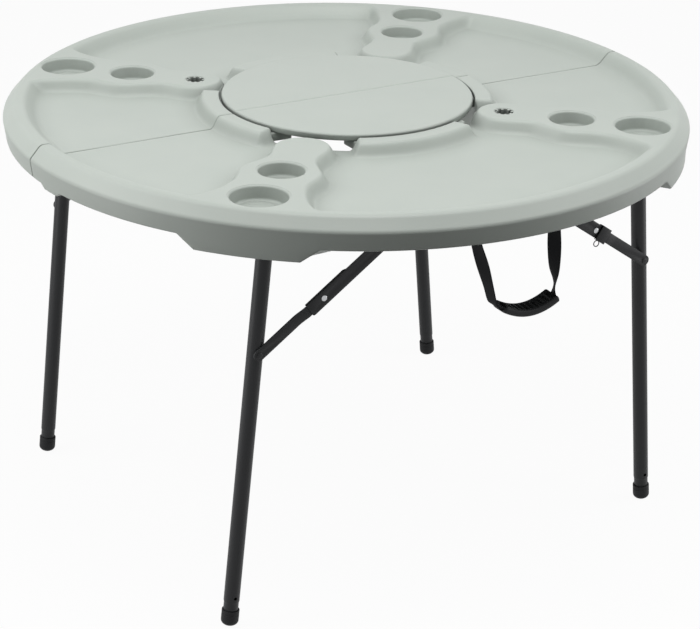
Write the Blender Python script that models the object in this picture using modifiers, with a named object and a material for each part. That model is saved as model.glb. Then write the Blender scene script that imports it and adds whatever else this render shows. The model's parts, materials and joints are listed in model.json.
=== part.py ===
"""Round folding party table: a two-part moulded top, a lift-out lid, folding legs and a carry handle.

Metres, +Z up. The origin is on the floor under the middle of the top. The seam between the two halves of
the top runs along X, and the front half lies on the -Y side.
"""

import math

import bmesh
import bpy

# Overall size
TOP_RADIUS = 0.610
TABLE_HEIGHT = 0.762
GAP = 0.0003

# Moulded top, depths measured down from the crown of the rim
TRAY_DEPTH = 0.022
PANEL_DEPTH = 0.040
SKIRT_DEPTH = 0.0557
PAD_DEPTH = 0.078
RIM_WIDTH = 0.038
RIM_SLOPE_RUN = 0.031
RIM_SHOULDER_WIDTH = 0.016
RIM_SHOULDER_DEPTH = 0.020
RIM_ROUND = 0.004
SKIRT_DRAFT = 0.004
SKIRT_WALL = 0.026
SEAM_GAP = 0.0004
OPENING_RADIUS = 0.233
COLLAR_DEPTH = 0.036
COLLAR_WALL = 0.004
TOP_STEPS = 96
RIM_CREST_RADIUS = TOP_RADIUS - RIM_WIDTH

# Curbs round the opening
CURB_WIDTH = 0.025
CURB_HALF_ANGLE = math.radians(25)
CURB_DRAFT = 0.016

# Ledges that carry the lid
LEDGE_WIDTH = 0.037
LEDGE_HALF_ANGLE = math.radians(31.5)
LEDGE_THICKNESS = 0.016

# Spokes with the cup holders, places measured from the middle of the table
SPOKE_ANGLES = [math.radians(degrees) for degrees in (-135, -45, 45, 135)]
SPOKE_TIP_GAP = 0.007
SPOKE_LOBE = 0.046
SPOKE_NECK = 0.041
SPOKE_CUP_LOBE = 0.067
SPOKE_WAIST = 0.061
SPOKE_RIM_LOBE = 0.081
SPOKE_FLARE = 0.112
SPOKE_DRAFT = 0.022
CUP_SPACING = 0.125
SMALL_CUP_RADIUS = 0.0385
LARGE_CUP_INSET = 0.040
LARGE_CUP_RADIUS = 0.0475
CUP_DEPTH = 0.024
CUP_DRAFT = 0.004
CUP_LIP = 0.0045
CUP_FLOOR_ROUND = 0.006
POLE_RADIUS = 0.0165
POLE_RIB_WIDTH = 0.005
POLE_RIB_HEIGHT = 0.0035
POLE_RIBS = 4

# Feet of the skirt that meet when the halves are folded
PAD_HALF_ANGLE = math.radians(12)
PAD_FLAT_ANGLE = math.radians(8.35)
PAD_RAMP_ANGLE = math.radians(17.5)

# Rib along the seam, and the two hinges under it
SEAM_RIB_WIDTH = 0.024
SEAM_RIB_RIM_GAP = 0.057
SEAM_RIB_OPENING_GAP = 0.042
HINGE_LENGTH = 0.090
HINGE_LEAF_WIDTH = 0.045
HINGE_LEAF_THICKNESS = 0.0025
HINGE_BARREL_RADIUS = 0.006
HINGE_PIN_RADIUS = 0.003
HINGE_KNUCKLES = 3

# Lid
LID_GAP = 0.0085
LID_RISE = 0.004
LID_THICKNESS = 0.012
LID_ROUND = 0.004
LID_CREASE_WIDTH = 0.006
LID_CREASE_DEPTH = 0.0015

# Legs
TUBE_RADIUS = 0.0136
TUBE_WALL = 0.0014
TUBE_SIDES = 16
TUBE_HEAD = 0.012
SWAGE_LENGTH = 0.034
SWAGE_DEPTH = 0.0008
PIVOT_DROP = 0.024
LEG_LEAN = math.radians(5.45)
FOOT_RADIUS = 0.0152
FOOT_HEIGHT = 0.030
FOOT_DOME = 0.010
FOOT_FLOOR = 0.010
BUTTON_RADIUS = 0.003
BUTTON_HEIGHT = 0.055

# Leg brackets
BRACKET_SHEET = 0.0025
BRACKET_LENGTH = 0.044
EAR_RADIUS = 0.011
LEG_PIN_RADIUS = 0.004
PIN_HEAD = 0.0015
PIN_HEAD_MARGIN = 0.003

# Braces: the strap hangs on the leg, the arm hangs under the top, and they meet at the elbow
BRACE_ON_LEG = 0.200
BRACE_ANGLE = math.radians(35)
STRAP_WIDTH = 0.020
STRAP_THICKNESS = 0.0025
STRAP_JOG = 0.0035
JOG_START = 0.034
JOG_LENGTH = 0.024
ARM_WIDTH = 0.025
ARM_SHEET = 0.002
ARM_FLANGE = 0.006
ARM_FLANGE_REACH = 0.061
ARM_TAIL = 0.032
RIVET_RADIUS = 0.003
RIVET_HEAD_RADIUS = 0.0052
RIVET_HEAD = 0.0012
LOCK_LENGTH = 0.022
LOCK_SHEET = 0.0015
LOCK_PLACE = 0.018

# Carry handle
HANDLE_INSET = 0.060
HANDLE_HALF_SPAN = 0.076
HANDLE_DROP = 0.170
HANDLE_SWAY = 0.0285
HANDLE_CORNER = 0.012
HANDLE_PIVOT_DROP = 0.018
WEBBING_WIDTH = 0.030
WEBBING_THICKNESS = 0.002
STRAP_END = 0.004
ANCHOR_LENGTH = 0.030
ANCHOR_SHEET = 0.002
ANCHOR_EAR_RADIUS = 0.010
GRIP_LENGTH = 0.108
GRIP_THICKNESS = 0.013
GRIP_WIDTH = 0.038
GRIP_SAG = 0.017

# Places that follow from the sizes above
LARGE_CUP_PLACE = RIM_CREST_RADIUS - LARGE_CUP_INSET
SMALL_CUP_PLACE = LARGE_CUP_PLACE - CUP_SPACING
SPOKE_TIP = OPENING_RADIUS + SPOKE_TIP_GAP
POLE_PLACE = SPOKE_TIP + SPOKE_LOBE
CURB_TOP_RADIUS = OPENING_RADIUS + CURB_WIDTH
LEDGE_INNER_RADIUS = OPENING_RADIUS - LEDGE_WIDTH
LID_RADIUS = OPENING_RADIUS - LID_GAP
SEAM_RIB_START = OPENING_RADIUS + SEAM_RIB_OPENING_GAP
SEAM_RIB_END = TOP_RADIUS - SEAM_RIB_RIM_GAP
HINGE_PLACE = (SEAM_RIB_START + SEAM_RIB_END) / 2
HANDLE_PLACE = HANDLE_INSET - TOP_RADIUS
TRAY_Z = TABLE_HEIGHT - TRAY_DEPTH
UNDERSIDE_Z = TABLE_HEIGHT - PANEL_DEPTH
SKIRT_Z = TABLE_HEIGHT - SKIRT_DEPTH
PAD_Z = TABLE_HEIGHT - PAD_DEPTH
HINGE_Z = PAD_Z
PIVOT_Z = UNDERSIDE_Z - PIVOT_DROP
LID_Z = TABLE_HEIGHT + LID_RISE
LEDGE_Z = LID_Z - LID_THICKNESS - GAP
LEG_LENGTH = PIVOT_Z / math.cos(LEG_LEAN)

# Layers of a brace, measured from the middle of the leg towards its side
STRAP_IN = TUBE_RADIUS + GAP
STRAP_OUT = STRAP_IN + STRAP_THICKNESS
ELBOW_IN = STRAP_IN + STRAP_JOG
ELBOW_OUT = ELBOW_IN + STRAP_THICKNESS
ARM_IN = ELBOW_OUT + GAP
ARM_OUT = ARM_IN + ARM_SHEET
LOCK_IN = ARM_OUT + RIVET_HEAD + 3 * GAP
LOCK_OUT = LOCK_IN + LOCK_SHEET

# One diagonal's legs stand further out, so that folded legs lie side by side with a brace between them.
# The braces of the other diagonal have a lock
LEG_PAIR = TOP_RADIUS - 0.239
LEG_STEP = FOOT_RADIUS + LOCK_OUT + 2 * GAP
OUTER_LEG = (TOP_RADIUS - 0.238, LEG_PAIR + LEG_STEP / 2)
INNER_LEG = (TOP_RADIUS - 0.220, LEG_PAIR - LEG_STEP / 2)
LEGS = {
    "front_left": ("front", 0, (-OUTER_LEG[0], -OUTER_LEG[1]), -1, False),
    "front_right": ("front", 180, (INNER_LEG[0], -INNER_LEG[1]), 1, True),
    "back_right": ("back", 180, OUTER_LEG, -1, False),
    "back_left": ("back", 0, (-INNER_LEG[0], INNER_LEG[1]), 1, True),
}

# The brace is straight when the leg stands, and lies flat on itself when the leg is folded
BRACE_RISE = BRACE_ON_LEG * math.cos(LEG_LEAN)
BRACE_RUN = BRACE_RISE / math.tan(BRACE_ANGLE)
BRACE_LENGTH = BRACE_RISE / math.sin(BRACE_ANGLE)
ARM_PLACE = BRACE_RUN - BRACE_ON_LEG * math.sin(LEG_LEAN)
ARM_LENGTH = (BRACE_LENGTH + ARM_PLACE - BRACE_ON_LEG) / 2
STRAP_LENGTH = BRACE_LENGTH - ARM_LENGTH

for old in list(bpy.data.objects):
    bpy.data.objects.remove(old, do_unlink=True)

PARTS = bpy.data.collections.new("round_folding_table")
CUTTERS = bpy.data.collections.new("cutters")
for collection in (PARTS, CUTTERS):
    bpy.context.scene.collection.children.link(collection)


def material(name, colour, roughness, metallic=0.0):
    """A plain finish of one colour."""
    made = bpy.data.materials.new(name)
    made.use_nodes = True
    shader = made.node_tree.nodes["Principled BSDF"]
    shader.inputs["Base Color"].default_value = (*colour, 1.0)
    shader.inputs["Roughness"].default_value = roughness
    shader.inputs["Metallic"].default_value = metallic
    return made


MOULDED = material("pale_green_polyethylene", (0.53, 0.58, 0.55), 0.5)
POWDER = material("charcoal_powder_coat", (0.045, 0.047, 0.05), 0.5, 0.4)
ZINC = material("zinc_plated_steel", (0.62, 0.62, 0.6), 0.35, 1.0)
RUBBER = material("black_rubber", (0.015, 0.015, 0.016), 0.7)
WEBBING = material("black_webbing", (0.012, 0.012, 0.013), 0.85)


def add(name, mesh, finish=None, parent=None, place=(0, 0, 0), turn=(0, 0, 0)):
    """Puts a mesh in the scene as a part with a finish, or as a cutter without one."""
    made = bpy.data.objects.new(name, mesh)
    (PARTS if finish else CUTTERS).objects.link(made)
    made.parent = parent
    made.location = place
    made.rotation_euler = turn
    if finish:
        mesh.materials.clear()
        mesh.materials.append(finish)
        mesh.shade_smooth()
        mesh.set_sharp_from_angle(angle=math.radians(35))
    else:
        made.hide_render = True
        made.display_type = "WIRE"
    return made


def empty(name, parent=None, place=(0, 0, 0), turn=(0, 0, 0)):
    """A joint's axis or a group's place."""
    made = bpy.data.objects.new(name, None)
    PARTS.objects.link(made)
    made.empty_display_size = 0.03
    made.parent = parent
    made.location = place
    made.rotation_euler = turn
    return made


def combine(target, tool, operation):
    """Adds a Boolean to a part."""
    modifier = target.modifiers.new(operation.lower(), "BOOLEAN")
    modifier.operation = operation
    modifier.solver = "EXACT"
    modifier.object = tool


def baked(source):
    """The finished mesh of an object with its modifiers or of a curve, welded, in its own frame."""
    bpy.context.view_layer.update()
    graph = bpy.context.evaluated_depsgraph_get()
    mesh = bpy.data.meshes.new_from_object(source.evaluated_get(graph))
    work = bmesh.new()
    work.from_mesh(mesh)
    bmesh.ops.remove_doubles(work, verts=work.verts, dist=1e-6)
    bmesh.ops.recalc_face_normals(work, faces=work.faces)
    work.to_mesh(mesh)
    work.free()
    return mesh


def taken(source):
    """The finished mesh of a helper object, which is then removed."""
    mesh = baked(source)
    bpy.data.objects.remove(source, do_unlink=True)
    return mesh


def box_mesh(low, high):
    """A block between two corners."""
    work = bmesh.new()
    bmesh.ops.create_cube(work, size=1.0)
    for vertex in work.verts:
        vertex.co = [low[i] + (vertex.co[i] + 0.5) * (high[i] - low[i]) for i in range(3)]
    mesh = bpy.data.meshes.new("block")
    work.to_mesh(mesh)
    work.free()
    return mesh


def rod_mesh(radius, low, high, sides=12, place=(0, 0)):
    """A cylinder along Y between two heights, with its axis at X and Z of place."""
    work = bmesh.new()
    bmesh.ops.create_cone(
        work, cap_ends=True, segments=sides, radius1=radius, radius2=radius, depth=high - low
    )
    for vertex in work.verts:
        x, y, z = vertex.co
        vertex.co = (place[0] + x, (low + high) / 2 - z, place[1] + y)
    mesh = bpy.data.meshes.new("rod")
    work.to_mesh(mesh)
    work.free()
    return mesh


def turned_mesh(profile, steps, closed=False):
    """A turned shape about Z from points (radius, height) that run down its outer side."""
    mesh = bpy.data.meshes.new("profile")
    edges = [(i, i + 1) for i in range(len(profile) - 1)]
    if closed:
        edges.append((len(profile) - 1, 0))
    mesh.from_pydata([(radius, 0, height) for radius, height in profile], edges, [])
    helper = add("turned", mesh)
    screw = helper.modifiers.new("turn", "SCREW")
    screw.steps = screw.render_steps = steps
    screw.use_merge_vertices = True
    screw.merge_threshold = 0.00005
    return taken(helper)


def along_y(mesh):
    """Lays a turned shape down so that its axis runs along Y, with its top towards +Y."""
    for vertex in mesh.vertices:
        x, y, z = vertex.co
        vertex.co = (x, z, -y)
    return mesh


def flip_y(mesh):
    """A mirror image across the XZ plane, with its faces still pointing out."""
    for vertex in mesh.vertices:
        vertex.co.y = -vertex.co.y
    mesh.flip_normals()
    return mesh


def arc(radius, start, end, count):
    """Points on a circle round the middle of the table."""
    angles = [start + (end - start) * i / count for i in range(count + 1)]
    return [(radius * math.cos(angle), radius * math.sin(angle)) for angle in angles]


def outline_curve(points, smooth):
    """A closed flat outline. A smooth one has corners only at its first and last points."""
    curve = bpy.data.curves.new("outline", "CURVE")
    curve.dimensions = "2D"
    curve.fill_mode = "BOTH"
    curve.resolution_u = 5
    curve.bevel_resolution = 0
    if smooth:
        spline = curve.splines.new("BEZIER")
        spline.bezier_points.add(len(points) - 1)
        for index, (x, y) in enumerate(points):
            knot = spline.bezier_points[index]
            knot.co = (x, y, 0)
            bend = "VECTOR" if index in (0, len(points) - 1) else "AUTO"
            knot.handle_left_type = knot.handle_right_type = bend
    else:
        spline = curve.splines.new("POLY")
        spline.points.add(len(points) - 1)
        for knot, (x, y) in zip(spline.points, points):
            knot.co = (x, y, 0, 1)
    spline.use_cyclic_u = True
    return curve


def curve_mesh(curve):
    """The mesh of a flat outline with its thickness."""
    helper = bpy.data.objects.new("outline", curve)
    CUTTERS.objects.link(helper)
    return taken(helper)


def outline_mesh(points, low, high):
    """A flat outline raised straight up from low to high."""
    curve = outline_curve(points, False)
    curve.extrude = (high - low) / 2
    mesh = curve_mesh(curve)
    for vertex in mesh.vertices:
        vertex.co.z += (low + high) / 2
    return mesh


def raised_mesh(points, draft, smooth=False):
    """A raised part of the top: the outline is its flat upper face, and its walls spread down to the tray."""
    curve = outline_curve(points, smooth)
    curve.bevel_depth = draft
    curve.extrude = draft / 2
    mesh = curve_mesh(curve)
    root = (PANEL_DEPTH - TRAY_DEPTH) / 4
    levels = ((draft, TABLE_HEIGHT), (0, TRAY_Z - GAP))
    levels += ((-draft, TRAY_Z - root), (-2 * draft, TRAY_Z - 2 * root))
    for vertex in mesh.vertices:
        vertex.co.z = next(height for least, height in levels if vertex.co.z > least)
    return mesh


def sector_points(inner, outer, half_angle, count=10):
    """The outline of a piece of a flat ring, centred on +X."""
    points = arc(inner, -half_angle, half_angle, count) + arc(outer, half_angle, -half_angle, count)
    return points[::-1]


def top_profile():
    """Half section of the panel, its rim and its skirt, clockwise from the opening."""
    shoulder = TOP_RADIUS - RIM_SHOULDER_WIDTH
    shoulder_low = TABLE_HEIGHT - RIM_SHOULDER_DEPTH
    skirt_outer = TOP_RADIUS - SKIRT_DRAFT
    blank = OPENING_RADIUS - CURB_DRAFT
    profile = [
        (blank, TRAY_Z),
        (RIM_CREST_RADIUS - RIM_SLOPE_RUN, TRAY_Z),
        (RIM_CREST_RADIUS, TABLE_HEIGHT),
    ]
    profile += [
        (shoulder - 1.5 * RIM_ROUND, TABLE_HEIGHT),
        (shoulder - RIM_ROUND / 2, TABLE_HEIGHT - RIM_ROUND / 4),
        (shoulder, TABLE_HEIGHT - RIM_ROUND),
        (TOP_RADIUS - RIM_ROUND / 2, shoulder_low),
        (TOP_RADIUS - RIM_ROUND / 8, shoulder_low - RIM_ROUND / 2),
        (TOP_RADIUS, shoulder_low - RIM_ROUND),
    ]
    profile += [
        (skirt_outer, SKIRT_Z),
        (skirt_outer - SKIRT_WALL, SKIRT_Z),
        (skirt_outer - SKIRT_WALL - SKIRT_DRAFT, UNDERSIDE_Z),
        (blank, UNDERSIDE_Z),
    ]
    return profile


def spoke_mesh():
    """One spoke along +X: a wavy outline that swells round each cup and flares into the rim."""
    lobe_place = SPOKE_TIP + SPOKE_LOBE
    neck_place = (lobe_place + SMALL_CUP_PLACE) / 2
    waist_place = (SMALL_CUP_PLACE + LARGE_CUP_PLACE) / 2
    upper = [
        (SPOKE_TIP + SPOKE_LOBE * 0.29, SPOKE_LOBE * 0.71),
        (lobe_place, SPOKE_LOBE),
        (neck_place, SPOKE_NECK),
        (SMALL_CUP_PLACE, SPOKE_CUP_LOBE),
        (waist_place, SPOKE_WAIST),
        (LARGE_CUP_PLACE, SPOKE_RIM_LOBE),
        (RIM_CREST_RADIUS + GAP, SPOKE_FLARE),
    ]
    lower = [(x, -y) for x, y in reversed(upper)]
    return raised_mesh(upper[::-1] + [(SPOKE_TIP, 0)] + lower[::-1], SPOKE_DRAFT, smooth=True)


def cup_mesh(radius):
    """The hollow of one cup holder, with a rounded lip and floor."""
    floor_radius = radius - CUP_DRAFT
    profile = [(0, TABLE_HEIGHT + CUP_LIP), (radius + CUP_LIP, TABLE_HEIGHT + CUP_LIP)]
    profile += [(radius + CUP_LIP, TABLE_HEIGHT), (radius + CUP_LIP * 0.3, TABLE_HEIGHT - CUP_LIP * 0.3)]
    profile.append((radius, TABLE_HEIGHT - CUP_LIP))
    corner_z = TABLE_HEIGHT - CUP_DEPTH + CUP_FLOOR_ROUND
    for x, y in arc(CUP_FLOOR_ROUND, 0, -math.pi / 2, 3):
        profile.append((floor_radius - CUP_FLOOR_ROUND + x, corner_z + y))
    profile.append((0, TABLE_HEIGHT - CUP_DEPTH))
    return turned_mesh(profile, 28)


def pole_mesh():
    """The hollow of one pole socket: a hole with ribs standing in from its wall."""
    work = add("pole", turned_mesh([(0, 1), (POLE_RADIUS, 1), (POLE_RADIUS, 0), (0, 0)], 20))
    work.location.z = UNDERSIDE_Z - 0.1
    ribs = []
    for index in range(POLE_RIBS):
        inner = POLE_RADIUS - POLE_RIB_HEIGHT
        mesh = box_mesh((inner, -POLE_RIB_WIDTH / 2, -1), (2 * POLE_RADIUS, POLE_RIB_WIDTH / 2, 2))
        rib = add("rib", mesh, turn=(0, 0, math.tau * (index + 0.5) / POLE_RIBS))
        combine(work, rib, "DIFFERENCE")
        ribs.append(rib)
    mesh = taken(work)
    for rib in ribs:
        bpy.data.objects.remove(rib, do_unlink=True)
    for vertex in mesh.vertices:
        vertex.co.z += UNDERSIDE_Z - 0.1
    return mesh


def pad_mesh():
    """A foot of the skirt, centred on +X, with sloping ends, one of them a longer ramp on its inner side."""
    outer = TOP_RADIUS - SKIRT_DRAFT
    inner = outer - SKIRT_WALL
    work = bmesh.new()
    rings = []
    upper = (PAD_HALF_ANGLE, PAD_RAMP_ANGLE, SKIRT_Z + TRAY_DEPTH / 4)
    lower = (PAD_FLAT_ANGLE, PAD_FLAT_ANGLE, PAD_Z)
    for half_angle, ramp_angle, height in (upper, lower):
        points = arc(inner + GAP, -half_angle, ramp_angle, 8)
        points += arc(outer - GAP, half_angle, -half_angle, 8)
        rings.append([work.verts.new((x, y, height)) for x, y in points])
    count = len(rings[0])
    for i in range(count):
        j = (i + 1) % count
        work.faces.new((rings[0][i], rings[0][j], rings[1][j], rings[1][i]))
    for ring in rings:
        work.faces.new(ring)
    bmesh.ops.recalc_face_normals(work, faces=work.faces)
    mesh = bpy.data.meshes.new("pad")
    work.to_mesh(mesh)
    work.free()
    return mesh


def whole_top_mesh():
    """The moulded top before it is parted at the seam."""
    whole = add("whole_top", turned_mesh(top_profile(), TOP_STEPS, closed=True))
    tools = []

    def apply(mesh, operation, angle=0.0, place=(0, 0, 0)):
        tool = add("tool", mesh, place=place, turn=(0, 0, angle))
        combine(whole, tool, operation)
        tools.append(tool)

    for angle in SPOKE_ANGLES:
        apply(spoke_mesh(), "UNION", angle)
    curb_inner = OPENING_RADIUS - CURB_DRAFT
    quarters = [math.pi / 2 * index for index in range(4)]
    for angle in quarters:
        outline = sector_points(curb_inner, CURB_TOP_RADIUS, CURB_HALF_ANGLE)
        apply(raised_mesh(outline, CURB_DRAFT), "UNION", angle)
    for sign in (-1, 1):
        ends = sorted((sign * SEAM_RIB_START, sign * SEAM_RIB_END))
        low = (ends[0], -SEAM_RIB_WIDTH, HINGE_Z + HINGE_BARREL_RADIUS + GAP)
        apply(box_mesh(low, (ends[1], SEAM_RIB_WIDTH, TRAY_Z - TRAY_DEPTH / 4)), "UNION")
    collar_inner = OPENING_RADIUS - COLLAR_WALL
    collar_outer = OPENING_RADIUS + COLLAR_WALL
    collar_top = (UNDERSIDE_Z + TRAY_Z) / 2
    collar_low = UNDERSIDE_Z - COLLAR_DEPTH
    collar = [(collar_inner, collar_top), (collar_outer, collar_top)]
    collar += [(collar_outer, collar_low), (collar_inner, collar_low)]
    apply(turned_mesh(collar, TOP_STEPS, closed=True), "UNION")
    opening = [(0, 1), (OPENING_RADIUS, 1), (OPENING_RADIUS, 0), (0, 0)]
    apply(turned_mesh(opening, TOP_STEPS), "DIFFERENCE")
    for angle in quarters:
        outer = OPENING_RADIUS + LEDGE_THICKNESS / 4
        outline = sector_points(LEDGE_INNER_RADIUS, outer, LEDGE_HALF_ANGLE)
        apply(outline_mesh(outline, LEDGE_Z - LEDGE_THICKNESS, LEDGE_Z), "UNION", angle)
    for angle in SPOKE_ANGLES:
        apply(pad_mesh(), "UNION", angle)
        for place, radius in ((SMALL_CUP_PLACE, SMALL_CUP_RADIUS), (LARGE_CUP_PLACE, LARGE_CUP_RADIUS)):
            spot = (place * math.cos(angle), place * math.sin(angle), 0)
            apply(cup_mesh(radius), "DIFFERENCE", angle, spot)
    for angle in SPOKE_ANGLES[1::2]:
        spot = (POLE_PLACE * math.cos(angle), POLE_PLACE * math.sin(angle), 0)
        apply(pole_mesh(), "DIFFERENCE", angle, spot)
    mesh = taken(whole)
    for tool in tools:
        bpy.data.objects.remove(tool, do_unlink=True)
    return mesh


def build_top():
    """The two halves, parted along the seam."""
    whole = whole_top_mesh()
    reach = 2 * TOP_RADIUS
    fold = empty("half_fold_axis", place=(0, 0, HINGE_Z))
    for name, side in (("front_top", 1), ("back_top", -1)):
        parent = fold if side < 0 else None
        drop = HINGE_Z if parent else 0
        half = add(name, whole.copy(), MOULDED, parent, (0, 0, -drop))
        ends = sorted((-side * SEAM_GAP / 2, side * reach))
        away = add(name + "_away", box_mesh((-reach, ends[0], -1), (reach, ends[1], 2)))
        combine(half, away, "DIFFERENCE")
    return fold


FOLD_AXIS = build_top()


def build_lid():
    """The round lid that lifts out of the opening, with a crease in line with the seam."""
    low = LID_Z - LID_THICKNESS
    profile = [(0, LID_Z)]
    for x, y in arc(LID_ROUND, math.pi / 2, 0, 3):
        profile.append((LID_RADIUS - LID_ROUND + x, LID_Z - LID_ROUND + y))
    profile += [(LID_RADIUS, low + LID_ROUND / 2), (LID_RADIUS - LID_ROUND / 2, low), (0, low)]
    lid = add("lid", turned_mesh(profile, TOP_STEPS), MOULDED)
    half = LID_CREASE_WIDTH / 2
    points = [(-half, half), (0, -LID_CREASE_DEPTH), (half, half)]
    groove = outline_mesh(points, -2 * LID_RADIUS, 2 * LID_RADIUS)
    crease = add("lid_crease", groove, place=(0, 0, LID_Z), turn=(math.pi / 2, 0, math.pi / 2))
    combine(lid, crease, "DIFFERENCE")


build_lid()


def knuckle_spans(leaf):
    """Where one leaf's knuckles lie along the hinge."""
    step = HINGE_LENGTH / HINGE_KNUCKLES
    spans = []
    for index in range(leaf, HINGE_KNUCKLES, 2):
        start = -HINGE_LENGTH / 2 + index * step
        spans.append((start + GAP, start + step - GAP))
    return spans


def leaf_mesh(leaf, toward):
    """One leaf of a hinge about X, its plate on the side of Y that toward gives."""
    top = HINGE_BARREL_RADIUS
    low = top - HINGE_LEAF_THICKNESS
    clear = HINGE_BARREL_RADIUS + 2 * GAP
    near, far = sorted((toward * clear, toward * HINGE_LEAF_WIDTH))
    plate = add("plate", box_mesh((-HINGE_LENGTH / 2, near, low), (HINGE_LENGTH / 2, far, top)))
    tools = []
    for start, end in knuckle_spans(leaf):
        near, far = sorted((0, toward * (clear + HINGE_LEAF_THICKNESS)))
        web = add("web", box_mesh((start, near, low), (end, far, top)))
        barrel = rod_mesh(HINGE_BARREL_RADIUS, start, end, 16)
        barrel = add("barrel", barrel, turn=(0, 0, -math.pi / 2))
        combine(plate, web, "UNION")
        combine(plate, barrel, "UNION")
        tools += [web, barrel]
    bore = rod_mesh(HINGE_PIN_RADIUS + GAP, -HINGE_LENGTH, HINGE_LENGTH, 12)
    bore = add("bore", bore, turn=(0, 0, -math.pi / 2))
    combine(plate, bore, "DIFFERENCE")
    mesh = taken(plate)
    for tool in tools + [bore]:
        bpy.data.objects.remove(tool, do_unlink=True)
    return mesh


def build_hinges():
    """The two hinges under the seam, each with a front leaf, a back leaf and a pin."""
    for name, side in (("left", -1), ("right", 1)):
        place = (side * HINGE_PLACE, 0, HINGE_Z)
        add("hinge_front_leaf_" + name, leaf_mesh(0, -1), POWDER, None, place)
        add("hinge_back_leaf_" + name, leaf_mesh(1, 1), POWDER, FOLD_AXIS, (place[0], 0, 0))
        half = HINGE_LENGTH / 2
        pin = rod_mesh(HINGE_PIN_RADIUS, -half, half)
        add("hinge_pin_" + name, pin, ZINC, None, place, (0, 0, -math.pi / 2))


build_hinges()


def joined(base, shapes, cuts):
    """One mesh: the base block with the shapes added and the cuts taken out."""
    target = add("base", base)
    tools = []
    for operation, meshes in (("UNION", shapes), ("DIFFERENCE", cuts)):
        for mesh in meshes:
            tool = add("tool", mesh)
            combine(target, tool, operation)
            tools.append(tool)
    mesh = taken(target)
    for tool in tools:
        bpy.data.objects.remove(tool, do_unlink=True)
    return mesh


def headed_pin_mesh(radius, head_radius, inner, outer, head):
    """A pin along +Y from inner to outer, with a head past its outer end."""
    profile = [(0, outer + head), (head_radius - head / 2, outer + head), (head_radius, outer + head / 2)]
    profile += [(head_radius, outer), (radius, outer), (radius, inner), (0, inner)]
    return along_y(turned_mesh(profile, 12))


def rivet_mesh(inner, outer):
    """A rivet along +Y with a head at both ends, past inner and outer."""
    low, high = inner - RIVET_HEAD, outer + RIVET_HEAD
    rim = RIVET_HEAD_RADIUS - RIVET_HEAD / 2
    profile = [(0, high), (rim, high), (RIVET_HEAD_RADIUS, high - RIVET_HEAD / 2)]
    profile += [(RIVET_HEAD_RADIUS, outer), (RIVET_RADIUS, outer), (RIVET_RADIUS, inner)]
    profile += [(RIVET_HEAD_RADIUS, inner), (RIVET_HEAD_RADIUS, low + RIVET_HEAD / 2), (rim, low), (0, low)]
    return along_y(turned_mesh(profile, 12))


def tube_mesh():
    """A leg tube hanging from its pivot at the origin, narrowed at the bottom for its cap."""
    end = FOOT_FLOOR + GAP - LEG_LENGTH
    swage = end + SWAGE_LENGTH
    narrow = TUBE_RADIUS - SWAGE_DEPTH
    profile = [(TUBE_RADIUS, TUBE_HEAD), (TUBE_RADIUS, swage + SWAGE_DEPTH), (narrow, swage), (narrow, end)]
    inner = narrow - TUBE_WALL
    profile += [(inner, end), (inner, TUBE_HEAD)]
    tube = turned_mesh(profile, TUBE_SIDES, closed=True)
    bore = rod_mesh(LEG_PIN_RADIUS + GAP, -2 * TUBE_RADIUS, 2 * TUBE_RADIUS)
    button = rod_mesh(BUTTON_RADIUS, -2 * TUBE_RADIUS, 0, 10, (0, BUTTON_HEIGHT - LEG_LENGTH))
    return joined(tube, [], [bore, button])


def cap_mesh():
    """A rubber foot on the end of a leg: a socket round the tube and a domed end."""
    end = -LEG_LENGTH
    socket = TUBE_RADIUS - SWAGE_DEPTH + GAP
    profile = [(FOOT_RADIUS - GAP, end + FOOT_HEIGHT), (FOOT_RADIUS, end + FOOT_DOME)]
    for x, y in arc(1.0, 0, -math.pi / 2, 4)[1:]:
        profile.append((FOOT_RADIUS * x, end + FOOT_DOME + y * (FOOT_DOME + GAP)))
    profile[-1] = (0, end - GAP)
    floor = end + FOOT_FLOOR
    profile += [(0, floor), (socket, floor), (socket, end + FOOT_HEIGHT)]
    return turned_mesh(profile, 20, closed=True)


def leg_bracket_mesh():
    """A bent sheet bracket under the top, with an ear on each side of the leg."""
    inner = TUBE_RADIUS + GAP
    outer = inner + BRACKET_SHEET
    top = PIVOT_DROP - GAP
    half = BRACKET_LENGTH / 2
    base = box_mesh((-half, -outer, top - BRACKET_SHEET), (half, outer, top))
    shapes = []
    for low, high in ((-outer, -inner), (inner, outer)):
        shapes.append(box_mesh((-EAR_RADIUS, low, 0), (EAR_RADIUS, high, top)))
        shapes.append(rod_mesh(EAR_RADIUS, low, high, 20))
    bore = rod_mesh(LEG_PIN_RADIUS + GAP, -2 * outer, 2 * outer)
    return joined(base, shapes, [bore])


def brace_bracket_mesh():
    """A tab under the top with one ear, which carries the arm of a brace."""
    outer = ARM_IN - GAP
    inner = outer - BRACKET_SHEET
    top = PIVOT_DROP - GAP
    half = BRACKET_LENGTH / 2
    base = box_mesh((-half, inner - EAR_RADIUS, top - BRACKET_SHEET), (half, outer, top))
    ear = box_mesh((-EAR_RADIUS, inner, 0), (EAR_RADIUS, outer, top))
    end = rod_mesh(EAR_RADIUS, inner, outer, 20)
    bore = rod_mesh(RIVET_RADIUS + GAP, 0, 2 * outer)
    return joined(base, [ear, end], [bore])


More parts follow.
